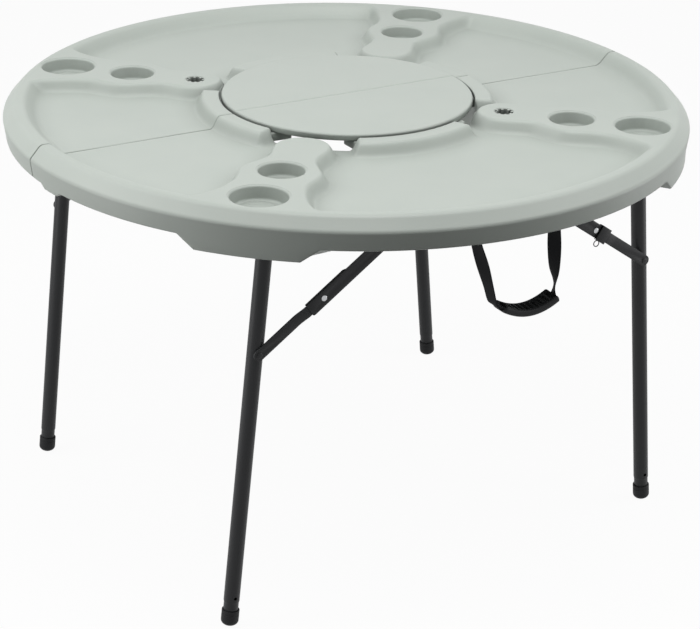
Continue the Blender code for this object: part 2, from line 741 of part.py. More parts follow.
def strap_mesh():
    """The strap of a brace: a flat bar along -X from the elbow to the leg, stepped sideways past the arm."""
    start, end = -JOG_START, -JOG_START - JOG_LENGTH
    near = [(0, ELBOW_OUT), (start, ELBOW_OUT), (end, STRAP_OUT), (-STRAP_LENGTH, STRAP_OUT)]
    far = [(x, y - STRAP_THICKNESS) for x, y in reversed(near)]
    half = STRAP_WIDTH / 2
    bar = outline_mesh((near + far), -half, half)
    ends = [rod_mesh(half, ELBOW_IN, ELBOW_OUT, 20)]
    ends.append(rod_mesh(half, STRAP_IN, STRAP_OUT, 20, (-STRAP_LENGTH, 0)))
    bores = [rod_mesh(RIVET_RADIUS + GAP, 0, 2 * ELBOW_OUT, 12, (x, 0)) for x in (0, -STRAP_LENGTH)]
    return joined(bar, ends, bores)


def arm_mesh():
    """The arm of a brace: a bar along -X from its bracket past the elbow, with a flange over the elbow."""
    half = ARM_WIDTH / 2
    tail = -ARM_LENGTH - ARM_TAIL
    bar = box_mesh((tail, ARM_IN, -half), (0, ARM_OUT, half))
    end = rod_mesh(half, ARM_IN, ARM_OUT, 24)
    low = (tail, ARM_OUT - ARM_FLANGE, half - ARM_SHEET)
    flange = box_mesh(low, (ARM_FLANGE_REACH - ARM_LENGTH, ARM_OUT, half))
    bores = [rod_mesh(RIVET_RADIUS + GAP, 0, 2 * ARM_OUT, 12, (x, 0)) for x in (0, -ARM_LENGTH)]
    return joined(bar, [end, flange], bores)


def lock_mesh():
    """The sliding lock of a brace: a clip round the arm's tail, hooked over both its edges."""
    half = ARM_WIDTH / 2 + GAP
    hook = ARM_OUT - ARM_FLANGE - GAP
    length = LOCK_LENGTH / 2
    tall = half + LOCK_SHEET
    plate = box_mesh((-length, LOCK_IN, -tall), (length, LOCK_OUT, tall))
    top = box_mesh((-length, hook - LOCK_SHEET, half), (length, LOCK_OUT, tall))
    lip = box_mesh((-length, hook - LOCK_SHEET, half - ARM_SHEET), (length, hook, tall))
    foot = box_mesh((-length, ARM_IN, -tall), (length, LOCK_OUT, -half))
    return joined(plate, [top, lip, foot], [])


def build_leg(name, half, turn, place, side, lock):
    """One leg with its cap, its bracket and its folding brace."""
    base = FOLD_AXIS if half == "back" else None
    drop = HINGE_Z if base else 0
    frame = empty(name + "_frame", base, (*place, PIVOT_Z - drop), (0, 0, math.radians(turn)))

    def sided(mesh):
        return mesh if side > 0 else flip_y(mesh)

    pivot = empty(name + "_leg_axis", frame, turn=(0, LEG_LEAN, 0))
    add("leg_tube_" + name, sided(flip_y(tube_mesh())), POWDER, pivot)
    cap = add("foot_cap_" + name, cap_mesh(), RUBBER, pivot)
    ground = add(name + "_ground", box_mesh((-1, -1, -1), (1, 1, 0)))
    combine(cap, ground, "DIFFERENCE")
    add("leg_bracket_" + name, leg_bracket_mesh(), POWDER, frame)
    outer = TUBE_RADIUS + GAP + BRACKET_SHEET + GAP
    pin = headed_pin_mesh(LEG_PIN_RADIUS, LEG_PIN_RADIUS + PIN_HEAD_MARGIN, -outer, outer, PIN_HEAD)
    add("leg_pin_" + name, flip_y(sided(pin)), ZINC, frame)

    shoulder = empty(name + "_arm_axis", frame, (ARM_PLACE, 0, 0), (0, -BRACE_ANGLE, 0))
    elbow = empty(name + "_elbow_axis", shoulder, (-ARM_LENGTH, 0, 0))
    add("brace_bracket_" + name, sided(brace_bracket_mesh()), POWDER, frame, (ARM_PLACE, 0, 0))
    inner = ARM_IN - BRACKET_SHEET - 2 * GAP
    pin = headed_pin_mesh(RIVET_RADIUS, RIVET_HEAD_RADIUS, inner, ARM_OUT + GAP, RIVET_HEAD)
    add("brace_pin_" + name, sided(pin), ZINC, frame, (ARM_PLACE, 0, 0))
    add("brace_arm_" + name, sided(arm_mesh()), POWDER, shoulder)
    add("elbow_rivet_" + name, sided(rivet_mesh(ELBOW_IN - GAP, ARM_OUT + GAP)), ZINC, elbow)
    add("brace_strap_" + name, sided(strap_mesh()), POWDER, elbow)
    rivet = headed_pin_mesh(RIVET_RADIUS, RIVET_HEAD_RADIUS, STRAP_IN, STRAP_OUT + GAP, RIVET_HEAD)
    add("leg_rivet_" + name, sided(rivet), POWDER, elbow, (-STRAP_LENGTH, 0, 0))
    if lock:
        add("brace_lock_" + name, sided(lock_mesh()), POWDER, elbow, (-LOCK_PLACE, 0, 0))


for leg_name, leg in LEGS.items():
    build_leg(leg_name, *leg)


def handle_route():
    """The webbing's line in X and Z: down from one anchor, through the grip and up to the other."""
    top = UNDERSIDE_Z - HANDLE_PIVOT_DROP + STRAP_END
    low = UNDERSIDE_Z - HANDLE_DROP
    half_grip = GRIP_LENGTH / 2
    bottom = []
    for index in range(9):
        across = index / 4 - 1
        bottom.append((HANDLE_SWAY + across * half_grip, low + GRIP_SAG * across * across))
    sides = []
    corner = (bottom[0][0] - HANDLE_CORNER, bottom[0][1] + HANDLE_CORNER / 2)
    for start, (end_x, end_z) in ((-HANDLE_HALF_SPAN, corner), (HANDLE_HALF_SPAN, bottom[-1])):
        straight = top - 4 * STRAP_END
        side = [(start, top), (start, straight)]
        for share in (0.4, 0.75):
            side.append((start + (end_x - start) * share, straight + (end_z - straight) * share))
        sides.append(side)
    return sides[0] + [corner], bottom, sides[1][::-1]


def ribbon_mesh(points, width, thickness):
    """A band of even thickness along a line in X and Z."""
    mesh = bpy.data.meshes.new("ribbon")
    half = width / 2
    verts = [(x, y, z) for x, z in points for y in (-half, half)]
    faces = [(2 * i, 2 * i + 1, 2 * i + 3, 2 * i + 2) for i in range(len(points) - 1)]
    mesh.from_pydata(verts, [], faces)
    helper = add("ribbon", mesh)
    solid = helper.modifiers.new("thick", "SOLIDIFY")
    solid.thickness = thickness
    solid.offset = 0
    solid.use_even_offset = True
    return taken(helper)


def anchor_mesh():
    """A bracket under the panel with a headed stud along Y, on which one end of the webbing swings."""
    strap = WEBBING_THICKNESS / 2 + GAP
    low, high = -strap - ANCHOR_SHEET, -strap
    top = HANDLE_PIVOT_DROP - GAP
    ear = ANCHOR_EAR_RADIUS
    base = box_mesh((-ear, high - ANCHOR_LENGTH, top - ANCHOR_SHEET), (ear, high, top))
    shapes = [box_mesh((-ear, low, 0), (ear, high, top)), rod_mesh(ear, low, high, 20)]
    stud = headed_pin_mesh(RIVET_RADIUS, RIVET_HEAD_RADIUS, (low + high) / 2, strap, RIVET_HEAD)
    return joined(base, shapes + [stud], [])


def build_handle():
    """The carry handle: a webbing loop on two studs, with a grip."""
    left, bottom, right = handle_route()
    place = (0, HANDLE_PLACE, 0)
    strap = ribbon_mesh(left + bottom + right, WEBBING_WIDTH, WEBBING_THICKNESS)
    strap = add("handle_strap", strap, WEBBING, None, place)
    grip = add("handle_grip", ribbon_mesh(bottom, GRIP_WIDTH, GRIP_THICKNESS), RUBBER, None, place)
    rounded = grip.modifiers.new("rounded", "BEVEL")
    rounded.width = GRIP_THICKNESS / 4
    rounded.segments = 2
    rounded.limit_method = "ANGLE"
    rounded.angle_limit = math.radians(60)
    slot_route = [left[-1]] + bottom + [right[0]]
    clear = 2 * GAP
    slot = ribbon_mesh(slot_route, WEBBING_WIDTH + clear, WEBBING_THICKNESS + clear)
    combine(grip, add("grip_slot", slot, place=place), "DIFFERENCE")
    for name, side in (("left", -1), ("right", 1)):
        spot = (side * HANDLE_HALF_SPAN, HANDLE_PLACE, UNDERSIDE_Z - HANDLE_PIVOT_DROP)
        turn = (0, 0, math.pi / 2 * -side)
        add("handle_anchor_" + name, anchor_mesh(), POWDER, None, spot, turn)
        bore = rod_mesh(RIVET_RADIUS + GAP, -ANCHOR_LENGTH, ANCHOR_LENGTH)
        combine(strap, add(name + "_strap_bore", bore, None, None, spot, turn), "DIFFERENCE")


build_handle()
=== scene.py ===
"""Looks of a round folding table: a moulded top with a lift-out lid, folding legs and a carry handle."""

import json
from functools import cache
from math import copysign, cos, exp, pi, radians, sin, tau

import bpy
import numpy as np
from mathutils import Matrix, Vector


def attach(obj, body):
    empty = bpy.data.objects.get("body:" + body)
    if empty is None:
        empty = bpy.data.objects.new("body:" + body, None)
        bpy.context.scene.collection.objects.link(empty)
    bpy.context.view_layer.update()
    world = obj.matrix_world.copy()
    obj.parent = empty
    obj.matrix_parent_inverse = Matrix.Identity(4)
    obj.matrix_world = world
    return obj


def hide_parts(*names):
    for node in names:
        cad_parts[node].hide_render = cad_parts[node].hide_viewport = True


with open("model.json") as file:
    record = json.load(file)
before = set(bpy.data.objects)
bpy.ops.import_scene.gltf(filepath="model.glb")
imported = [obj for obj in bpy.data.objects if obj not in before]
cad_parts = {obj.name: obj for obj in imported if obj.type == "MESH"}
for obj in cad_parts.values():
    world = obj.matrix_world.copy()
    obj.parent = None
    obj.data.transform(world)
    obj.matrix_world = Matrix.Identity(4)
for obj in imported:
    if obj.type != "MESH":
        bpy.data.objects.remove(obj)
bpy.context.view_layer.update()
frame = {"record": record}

bl_info = {
    "name": "Round folding table",
    "version": (1, 0, 0),
    "blender": (4, 5, 0),
    "location": "View3D > Sidebar > Table",
    "description": "Dresses a round folding table around its solids",
    "category": "Object",
}

BODY_OF = {
    node: body for body, nodes in frame["record"]["behaviour"]["bodies"].items() for node in nodes
}

# Fixed sizes in metres and angles in radians, with a few counts, shares and powers among them
GAP = 0.0003
MERGE = 1e-6
HAIR = 0.0001
BITE = 0.0005
SHEET_ROUND = 0.0005
BAR_ROUND = 0.0004
PLASTIC_ROUND = 0.0025
SEAM = 0.0004
SEAM_REACH = 0.0017
SEAM_POWER = 1.2
RIM_SLOPE_RUN = 0.021
RIM_SHOULDER = (0.018, 0.020)
RIM_ROUND = 0.004
LIP_ROUND = 0.0022
COLLAR = (0.036, 0.004)
COLLAR_FILLET = 0.002
COLLAR_HANG = 0.022
SKIRT_DRAFT = 0.004
SKIRT_WALL = 0.026
SKIRT_DEPTH = 0.0557
SKIRT_EDGE = 0.003
EDGE_STEP = 0.001
PAD_DEPTH = 0.078
PAD_FLAT_ANGLE = radians(8.35)
PAD_HALF_ANGLE = radians(11.28)
PAD_RAMP_ANGLE = radians(15.7)
LUG_DEPTH = 0.007
PANEL_DEPTH = 0.040
PANEL_INSETS = (0.04, 0.010)
CURB_DRAFT = 0.012
CURB_LEAN = 0.0045
LEAN_RUN = 0.03
LEDGE_WIDTH = 0.037
LEDGE_THICKNESS = 0.016
SPOKE_DRAFT = 0.013
SPOKE_TIP_PLACE = 0.286
SPOKE_FLARE = 1.25
SMALL_CUP_PLACE = 0.407
LARGE_CUP_PLACE = 0.532
CUP_DRAFT = 0.004
CUP_LIP = 0.0045
CUP_FLOOR_ROUND = 0.006
CUT_CLEAR = 0.01
LIP_SINK = 0.0002
POLE_RADIUS = 0.0165
POLE_LIP = 0.0016
POLE_DEPTH = 0.1
POLE_RIBS = 8
POLE_RIB = (0.0040, 0.0045)
POLE_RIB_REACH = 0.03
POLE_RIB_DROP = 0.0012
SEAM_RIB = (0.275, 0.553, 0.024)
SEAM_RIB_COVER = 0.006
HINGE_PLACE = 0.414
HINGE_LENGTH = 0.090
HINGE_LEAF = (0.045, 0.0025)
HINGE_BARREL = 0.006
HINGE_PIN = 0.003
HINGE_PIN_CHAMFER = 0.0006
HINGE_SCREWS = (0.017, (-0.032, 0.0, 0.032))
LID_RISE = 0.004
LID_THICKNESS = 0.012
LID_ROUND = 0.004
LID_HOLLOW = (0.02, 0.023, 0.002)
CREASE_SPREAD = 0.0018
TUBE_WALL = 0.0014
TUBE_HEAD = 0.012
TUBE_LIP = 0.0006
SWAGE = (0.034, 0.0008)
PIVOT_DROP = 0.024
LEG_LEAN = radians(5.45)
FOOT_RADIUS = 0.0152
FOOT_HEIGHT = 0.030
FOOT_DOME = 0.010
FOOT_FLOOR = 0.010
BUTTON = (0.003, 0.055)
BRACKET_SHEET = 0.0025
BRACKET_LENGTH = 0.044
BRACKET_CORNER = 0.004
BRACKET_SCREWS = (-0.0165, 0.0165)
EAR_RADIUS = 0.011
LEG_PIN = 0.004
LEG_PIN_HEAD = (0.007, 0.0015)
PIN_CHAMFER = 0.0004
BRACE_ANGLE = radians(35)
ARM_PLACE = 0.265343
ARM_LENGTH = 0.206228
ARM_IN = 0.0202
ARM_OUT = 0.0222
ARM_FLANGE = 0.006
ARM_FLANGE_REACH = 0.061
ARM_FLANGE_SLOPE = 0.008
ARM_TAIL = 0.032
ARM_CORNER = 0.004
STRAP_LENGTH = 0.140885
STRAP_IN = 0.0139
STRAP_THICKNESS = 0.0025
STRAP_JOG = 0.0035
JOG = (0.034, 0.024)
BORE = 0.05
RIVET_RADIUS = 0.003
RIVET_HEAD = (0.0052, 0.0012)
LOCK_LENGTH = 0.022
LOCK_SHEET = 0.0015
LOCK_PLACE = 0.018
LOCK_IN = 0.0243
RING = (0.0055, 0.0009)
RING_PLACE = (0.003, 0.0008, 0.0052)
HANDLE_Y = -0.550
HANDLE_HALF_SPAN = 0.076
HANDLE_PIVOT_Z = 0.704
HANDLE_LOW_Z = 0.552
HANDLE_SWAY = 0.0285
HANDLE_CORNER = 0.012
STRAP_END = 0.004
SIDE_SHARES = (0.4, 0.75)
WEBBING_THICKNESS = 0.002
WEBBING_EDGE = 0.0006
GRIP_LENGTH = 0.108
GRIP_THICKNESS = 0.013
GRIP_WIDTH = 0.038
GRIP_SAG = 0.017
GRIP_NARROW = 0.004
GRIP_PAD = 0.010
GRIP_RIBS_FROM = 0.012
GRIP_TILT_STEP = 0.01
GRIP_CLOSE = 0.35
GRIP_SQUARE = (0.35, 0.5)
GRIP_FACE = 0.74
GRIP_PAD_SINK = 0.8
RIB_POWER = 1.5
ANCHOR = (0.030, 0.002, 0.010)

# Half widths of a spoke at distances from the middle
SPOKE_WIDTHS = (
    (0.286, 0.046), (0.3465, 0.041), (0.407, 0.067), (0.4695, 0.061), (0.532, 0.081), (0.572, 0.112)
)
# Spokes and curbs: the angle of their middle in degrees from the start of a half, and half angles of curbs
SPOKES = (45, 135)
CURBS = ((0, radians(25)), (90, radians(25)), (180, radians(33)))
# How wide corners are filled and walls are rounded, as shares of the run of a wall
SPOKE_FILLET = 0.5
CURB_FILLET = 0.25
CREST_KNEE = 0.26
FOOT_KNEE = 0.36
# Degrees where the collar's deep part and the lug begin, are full, begin to end and have ended
HANG_SPAN = (146, 152, 172, 176)
LUG_SPAN = (3.6, 4.2, 8.4, 9.0)
# Ledges of the front half from and to, and the slant of their free ends, in degrees
LEDGES = ((238.5, 308.5), (180, 211.5), (328.5, 360))
LEDGE_TAPER = 6.0
# Sections of a half in degrees: close to the seam, and in spans with a count each
SEAM_SECTIONS = ((0.0, 0.06, 0.15, 0.3), (179.4, 179.7, 179.85, 179.94, 180.0))
SECTION_SPANS = (
    (0.6, 23.4, 19), (23.4, 66.6, 150), (66.6, 113.4, 39), (113.4, 156.6, 150), (156.6, 179.4, 19)
)
# Rows of points from the opening to the rim: where their spacing changes, and the three spacings
ROW_BREAKS = (0.285, 0.535)
ROW_STEPS = (0.0021, 0.0029, 0.0017)
# The ring in a cup's floor: steps inwards from the corner, and depths
CUP_RING = ((0.004, 0), (0.0050, 0.0012), (0.0062, 0.0016))
# Cuts beside the lid's crease
CREASE_CUTS = (0.006, 0.0035, 0.0022, 0.0012, 0.0005)
# The narrowing of a tube: shares of its depth, and heights above the narrow part
SWAGE_RAMP = ((0, 0.003), (0.3, 0.0018), (0.8, 0.0006), (1, 0))
# The groove round a foot: depths and distances below its top
FOOT_GROOVE = ((0, 0.006), (0.0005, 0.0066), (0.0005, 0.0078), (0, 0.0084))
# The domed head of a pin or rivet: shares of its radius and of its height
DOME = ((0, 1), (0.45, 0.94), (0.75, 0.72), (0.95, 0.35), (1, 0.12), (1, 0))
# A pan-head screw: its profile, and the half length, half width, end and depth of its cross recess
SCREW = ((0, 0), (0.0040, 0), (0.0040, -0.0008), (0.0034, -0.0017), (0.0022, -0.0021), (0, -0.0022))
RECESS = (0.0022, 0.0004, -0.004, -0.0012)
# Cuts across the jog of a strap, as shares of its run
JOG_CUTS = (0, 0.15, 0.35, 0.65, 0.85, 1)
# Twists of the webbing: degrees, the end they are measured from (0 left, 1 right), distance and spread
TWISTS = ((-14.0, 0, 0.06, 0.04), (14.0, 1, 0.05, 0.035), (-33.0, 1, 0.125, 0.022))
# Smooth shading angles in degrees
STEEL_SMOOTH = 32
PLASTIC_SMOOTH = 38
HANDLE_SMOOTH = 40

# Each leg: its turn in degrees, its place in plan, the side of its brace, and whether the brace has a lock
LEGS = {
    "front_left": (0, (-0.372, -0.3918), -1, False),
    "front_right": (180, (0.390, -0.3502), 1, True),
    "back_right": (180, (0.372, 0.3918), -1, False),
    "back_left": (0, (-0.390, 0.3502), 1, True),
}

# The photograph's camera: place, heading, tilt and roll in radians, and focal length in picture widths
CAMERA_PLACE = (-1.98835, -3.42248, 2.07576)
CAMERA_HEADING = -0.52973
CAMERA_TILT = 0.41474
CAMERA_ROLL = 0.02107
CAMERA_FOCAL = 2322.79 / 700
SENSOR = 36.0

# Each lamp: its place, the spot it points at, its size and its power in watts
LAMPS = {
    "overhead_lamp": ((-0.3, -0.7, 3.4), (0, -0.1, 0.7), 1.5, 40.0),
    "high_left_lamp": ((-2.0, 0.8, 2.6), (0, 0, 0.7), 1.8, 30.5),
    "high_right_lamp": ((1.8, -1.2, 2.6), (0, 0, 0.7), 1.8, 22.0),
    "left_lamp": ((-2.3, 0.2, 0.40), (0, 0, 0.65), 0.7, 10.0),
    "right_lamp": ((2.3, -1.1, 0.35), (0, 0, 0.65), 0.7, 9.5),
}
WHITE = (1, 1, 1, 1)
WORLD_FILL = 0.06
FLOOR_SIZE = 60.0
FLOOR_HEIGHT = -0.0005
PAPER_GLOW = 0.955
# How far the painted shade in the moulded top's hollows reaches, and how much of it is mixed into the colour
PAINTED_SHADE_REACH = 0.05
PAINTED_SHADE_SHARE = 0.8


def linear(code):
    """A hex colour, as written for a screen, as linear red, green and blue."""
    parts = [int(code[i:i + 2], 16) / 255 for i in (1, 3, 5)]
    return tuple(p / 12.92 if p <= 0.04045 else ((p + 0.055) / 1.055) ** 2.4 for p in parts)


def length(name, description, default):
    """A size property in metres."""
    return bpy.props.FloatProperty(
        name=name, description=description, default=default, min=0.0, unit="LENGTH"
    )


def colour(name, description, code):
    """A colour property from a hex value."""
    return bpy.props.FloatVectorProperty(
        name=name, description=description, default=linear(code), size=3, min=0.0, max=1.0, subtype="COLOR"
    )


class TableSizes(bpy.types.PropertyGroup):
    """Sizes of the table that a user would change."""

    top_radius: length("Top radius", "Outside radius of the moulded top", 0.610)
    table_height: length("Table height", "Floor to the crown of the rim", 0.762)
    tray_depth: length("Tray depth", "How far the eating surface lies below the rim", 0.022)
    rim_width: length("Rim width", "Width of the rim, from its outer edge to the slope of the tray", 0.038)
    opening_radius: length("Opening radius", "Radius of the round opening in the middle", 0.233)
    curb_width: length("Curb width", "Width of the raised curbs round the opening", 0.025)
    small_cup: length("Small cup radius", "Radius of the inner cup holders", 0.0385)
    large_cup: length("Large cup radius", "Radius of the outer cup holders", 0.0475)
    cup_depth: length("Cup depth", "Depth of the cup holders below the rim", 0.024)
    lid_radius: length("Lid radius", "Radius of the lift-out lid", 0.2245)
    crease_depth: length("Crease depth", "Depth of the crease across the lid", 0.0015)
    seam_soften: length("Seam softening", "How far the edges of the seam are rounded off", 0.003)
    tube_radius: length("Tube radius", "Outside radius of the leg tubes", 0.0136)
    strap_width: length("Brace strap width", "Width of the lower bar of a brace", 0.020)
    arm_width: length("Brace arm width", "Width of the upper bar of a brace", 0.025)
    webbing_width: length("Webbing width", "Width of the handle's webbing", 0.030)
    rib_pitch: length("Grip rib pitch", "Distance between the ribs of the grip", 0.0110)
    rib_depth: length("Grip rib depth", "Depth of the grooves between the ribs of the grip", 0.0042)


class TableColours(bpy.types.PropertyGroup):
    """Colours of the table's finishes."""

    moulded: colour("Moulded top", "Pale grey green of the moulded polyethylene", "#C8CFC8")
    moulded_shade: colour("Moulded top, cloudy", "Slightly darker clouds in the polyethylene", "#C1C9C2")
    powder: colour("Powder coat", "Charcoal of the coated steel", "#27282A")
    powder_fleck: colour("Powder coat fleck", "Lighter flecks in the powder coat", "#333436")
    zinc: colour("Zinc plate", "Bright plated rivets and screws", "#C9CACB")
    zinc_shade: colour("Zinc plate, dull", "Duller patches of the plating", "#A5A7AA")
    rubber: colour("Rubber", "Black of the feet and the grip", "#111214")
    rubber_bloom: colour("Rubber bloom", "Greyer bloom on the rubber", "#1B1C1E")
    webbing: colour("Webbing", "Black of the woven strap", "#08080A")
    webbing_thread: colour("Webbing thread", "Raised threads of the woven strap", "#17181B")
    floor: colour("Floor", "Pale studio floor", "#F4F4F3")
    floor_bounce: colour("Floor bounce", "Tone of the light that the floor gives back", "#707070")


def sizes():
    """The sizes held by the scene."""
    return bpy.context.scene.table_sizes


def colours():
    """The colours held by the scene."""
    return bpy.context.scene.table_colours


def fill_in(tree, target, inputs):
    """Gives a node its inputs: values, or outputs of other nodes to link to."""
    for key, value in inputs.items():
        if isinstance(value, bpy.types.NodeSocket):
            tree.links.new(value, target.inputs[key])
        else:
            target.inputs[key].default_value = value


def node(tree, kind, inputs, **settings):
    """Adds a shader node with its settings and inputs."""
    made = tree.nodes.new("ShaderNode" + kind)
    for key, value in settings.items():
        setattr(made, key, value)
    fill_in(tree, made, inputs)
    return made


def started(name):
    """A new node material, its tree, its shader and its coordinates."""
    made = bpy.data.materials.new(name)
    made.use_nodes = True
    tree = made.node_tree
    return made, tree, tree.nodes["Principled BSDF"], node(tree, "TexCoord", {})


def noise(tree, place, scale, detail=2.0):
    """Noise that stays with the object."""
    inputs = {"Vector": place.outputs["Object"], "Scale": scale, "Detail": detail}
    return node(tree, "TexNoise", inputs).outputs["Fac"]


def ranged(tree, value, low, high):
    """A value from 0 to 1 taken to another range."""
    return node(tree, "MapRange", {"Value": value, "To Min": low, "To Max": high}).outputs["Result"]


def blended(tree, share, low, high):
    """A mix of two colours."""
    return node(tree, "Mix", {0: share, 6: low, 7: high}, data_type="RGBA").outputs[2]


def bumped(tree, height, strength, distance):
    """The normal of a surface with a bump."""
    inputs = {"Height": height, "Strength": strength, "Distance": distance}
    return node(tree, "Bump", inputs).outputs["Normal"]


def reckoned(tree, operation, *values):
    """The result of a calculation on values."""
    return node(tree, "Math", dict(enumerate(values)), operation=operation).outputs[0]


def layered(tree, share, first, second):
    """A mix of two shaders."""
    return node(tree, "MixShader", {0: share, 1: first.outputs[0], 2: second.outputs[0]})


def rgba(value):
    """A colour with full opacity."""
    return (*value, 1.0)


def moulded_polyethylene():
    """Blow-moulded polyethylene: a waxy half-gloss, a fine pebbled skin, faint clouds in the colour, and
    painted shade in its hollows.
    """
    made, tree, shader, place = started("moulded_polyethylene")
    clouds = noise(tree, place, 9.0, 3.0)
    tint = blended(tree, clouds, rgba(colours().moulded_shade), rgba(colours().moulded))
    # Painted shade: an ambient occlusion node darkens the colour in cups, hollows and corners, where shade
    # falls.
    hollow = node(tree, "AmbientOcclusion", {"Color": tint, "Distance": PAINTED_SHADE_REACH}, samples=8)
    # The real pebbling is about 0.6 mm, too fine to show here, so it is drawn at 2.5 mm.
    pebbles = noise(tree, place, 400.0)
    fill_in(tree, shader, {
        "Base Color": blended(tree, PAINTED_SHADE_SHARE, tint, hollow.outputs["Color"]),
        "Roughness": ranged(tree, pebbles, 0.40, 0.52),
        "Normal": bumped(tree, pebbles, 0.10, 0.0005),
        "IOR": 1.51,
        "Specular IOR Level": 0.42,
    })
    return made


def mixed_finish(name, low, high, grain, rough, bump, constants):
    """A finish whose colour, roughness and bump follow one noise of a given grain in metres."""
    made, tree, shader, place = started(name)
    spots = noise(tree, place, 1.0 / grain)
    fill_in(tree, shader, {
        "Base Color": blended(tree, spots, rgba(getattr(colours(), low)), rgba(getattr(colours(), high))),
        "Roughness": ranged(tree, spots, *rough),
        "Normal": bumped(tree, spots, *bump),
        **constants,
    })
    return made


def woven_webbing():
    """Woven nylon webbing: raised threads along the strap, crossed by finer picks, with a dull sheen."""
    made, tree, shader, place = started("woven_nylon_webbing")
    parts = node(tree, "SeparateXYZ", {"Vector": place.outputs["UV"]})
    waves = []
    # Threads lie 1.6 mm apart and picks 1.2 mm apart, drawn twice as coarse so that they show.
    for axis, spacing in (("X", 0.0032), ("Y", 0.0024)):
        waves.append(reckoned(tree, "SINE", reckoned(tree, "MULTIPLY", parts.outputs[axis], tau / spacing)))
    weave = reckoned(tree, "MULTIPLY", *waves)
    level = node(tree, "MapRange", {"Value": weave, "From Min": -1.0, "From Max": 1.0}).outputs["Result"]
    fill_in(tree, shader, {
        "Base Color": blended(tree, level, rgba(colours().webbing), rgba(colours().webbing_thread)),
        "Normal": bumped(tree, level, 0.6, 0.0006),
        "Roughness": 0.72,
        "IOR": 1.53,
        "Specular IOR Level": 0.12,
    })
    return made


# Finishes that follow one noise: name, two colours, grain, roughness, bump, and constants of the shader
FINISHES = {
    # Satin charcoal. Orange peel is about 1 mm from crest to crest, drawn at 2 mm so that it shows.
    "powder": (
        "powder_coated_steel", "powder", "powder_fleck", 0.002, (0.40, 0.52), (0.25, 0.0003),
        {"IOR": 1.5, "Specular IOR Level": 0.3},
    ),
    # Bright metal with duller, slightly rough patches
    "zinc": (
        "zinc_plated_steel", "zinc_shade", "zinc", 0.003, (0.22, 0.40), (0.10, 0.0001),
        {"Metallic": 1.0},
    ),
    # Dull black with a greyer bloom and a fine skin
    "rubber": (
        "moulded_rubber", "rubber", "rubber_bloom", 0.004, (0.50, 0.68), (0.20, 0.0003),
        {"IOR": 1.52, "Specular IOR Level": 0.25},
    ),
}
MAKERS = {"moulded": moulded_polyethylene, "webbing": woven_webbing}


@cache
def finish_for(slot):
    """The material of a slot, made once."""
    return mixed_finish(*FINISHES[slot]) if slot in FINISHES else MAKERS[slot]()


def rotated(angle, axis="Z"):
    """A turn about an axis."""
    return Matrix.Rotation(angle, 4, axis)


def moved(x=0.0, y=0.0, z=0.0):
    """A move along the axes."""
    return Matrix.Translation((x, y, z))


def mirrored(side):
    """A mirror across Y where side is -1, and no change where it is 1."""
    return Matrix.Scale(side, 4, (0, 1, 0))


def added(name, data):
    """A new object in the scene."""
    made = bpy.data.objects.new(name, data)
    bpy.context.scene.collection.objects.link(made)
    return made


def discard(*pieces):
    """Removes pieces that are no longer needed."""
    for piece in pieces:
        bpy.data.objects.remove(piece, do_unlink=True)


def pick(*pieces):
    """Selects pieces, with the first of them active."""
    bpy.ops.object.select_all(action="DESELECT")
    for piece in pieces:
        piece.select_set(True)
    bpy.context.view_layer.objects.active = pieces[0]


def edit(piece):
    """Opens a piece for editing with all of it selected."""
    pick(piece)
    bpy.ops.object.mode_set(mode="EDIT")
    bpy.ops.mesh.select_all(action="SELECT")


def close_up(piece):
    """Merges doubles, turns the faces outwards and leaves edit mode."""
    if piece.mode != "EDIT":
        edit(piece)
    bpy.ops.mesh.select_all(action="SELECT")
    bpy.ops.mesh.remove_doubles(threshold=MERGE)
    bpy.ops.mesh.normals_make_consistent(inside=False)
    bpy.ops.object.mode_set(mode="OBJECT")
    return piece


def flat_square(size, place):
    """A level square at a place."""
    bpy.ops.mesh.primitive_plane_add(size=size, location=place)
    bpy.ops.object.transform_apply(location=True, rotation=True, scale=True)
    return bpy.context.object


def drawn(points):
    """A line drawn by extruding one vertex from point to point, left open for editing."""
    piece = flat_square(0.01, points[0])
    edit(piece)
    bpy.ops.mesh.merge(type="CENTER")
    for before, after in zip(points, points[1:]):
        step = [b - a for a, b in zip(before, after)]
        bpy.ops.mesh.extrude_region_move(TRANSFORM_OT_translate={"value": step})
    bpy.ops.mesh.select_all(action="SELECT")
    return piece


AXES = {
    "X": lambda a, b, t: (t, a, b),
    "Y": lambda a, b, t: (a, t, b),
    "Z": lambda a, b, t: (a, b, t),
}


def prism(outline, low, high, axis="Y"):
    """A plate: an outline in the other two axes, filled and extruded along one axis from low to high."""
    at = AXES[axis]
    points = [at(a, b, low) for a, b in outline]
    piece = drawn(points + [points[0]])
    bpy.ops.mesh.remove_doubles(threshold=MERGE)
    bpy.ops.mesh.edge_face_add()
    bpy.ops.mesh.extrude_region_move(TRANSFORM_OT_translate={"value": at(0, 0, high - low)})
    return close_up(piece)


def block(x, y, z):
    """A plain block between two values in each axis."""
    return prism([(x[0], y[0]), (x[1], y[0]), (x[1], y[1]), (x[0], y[1])], *z, "Z")


def spun(piece, steps):
    """A piece that is open for editing, spun about Z."""
    bpy.ops.mesh.spin(steps=steps, angle=tau, center=(0, 0, 0), axis=(0, 0, 1))
    return close_up(piece)


def turned(profile, steps=24):
    """A profile of radius and height spun about Z. An open profile starts and ends on the axis."""
    return spun(drawn([(radius, 0, height) for radius, height in profile]), steps)


def rod(radius, low, high, place=(0, 0), steps=20):
    """A plain cylinder along Y from low to high, with its axis at X and Z of place."""
    bpy.ops.mesh.primitive_cylinder_add(vertices=steps, radius=radius, depth=high - low)
    piece = bpy.context.object
    piece.data.transform(moved(place[0], (low + high) / 2, place[1]) @ rotated(pi / 2, "X"))
    return piece


def applied(piece, kind, **settings):
    """Applies a modifier with its settings."""
    change = piece.modifiers.new("change", kind)
    for key, value in settings.items():
        setattr(change, key, value)
    bpy.context.view_layer.objects.active = piece
    bpy.ops.object.modifier_apply(modifier=change.name)
    return piece


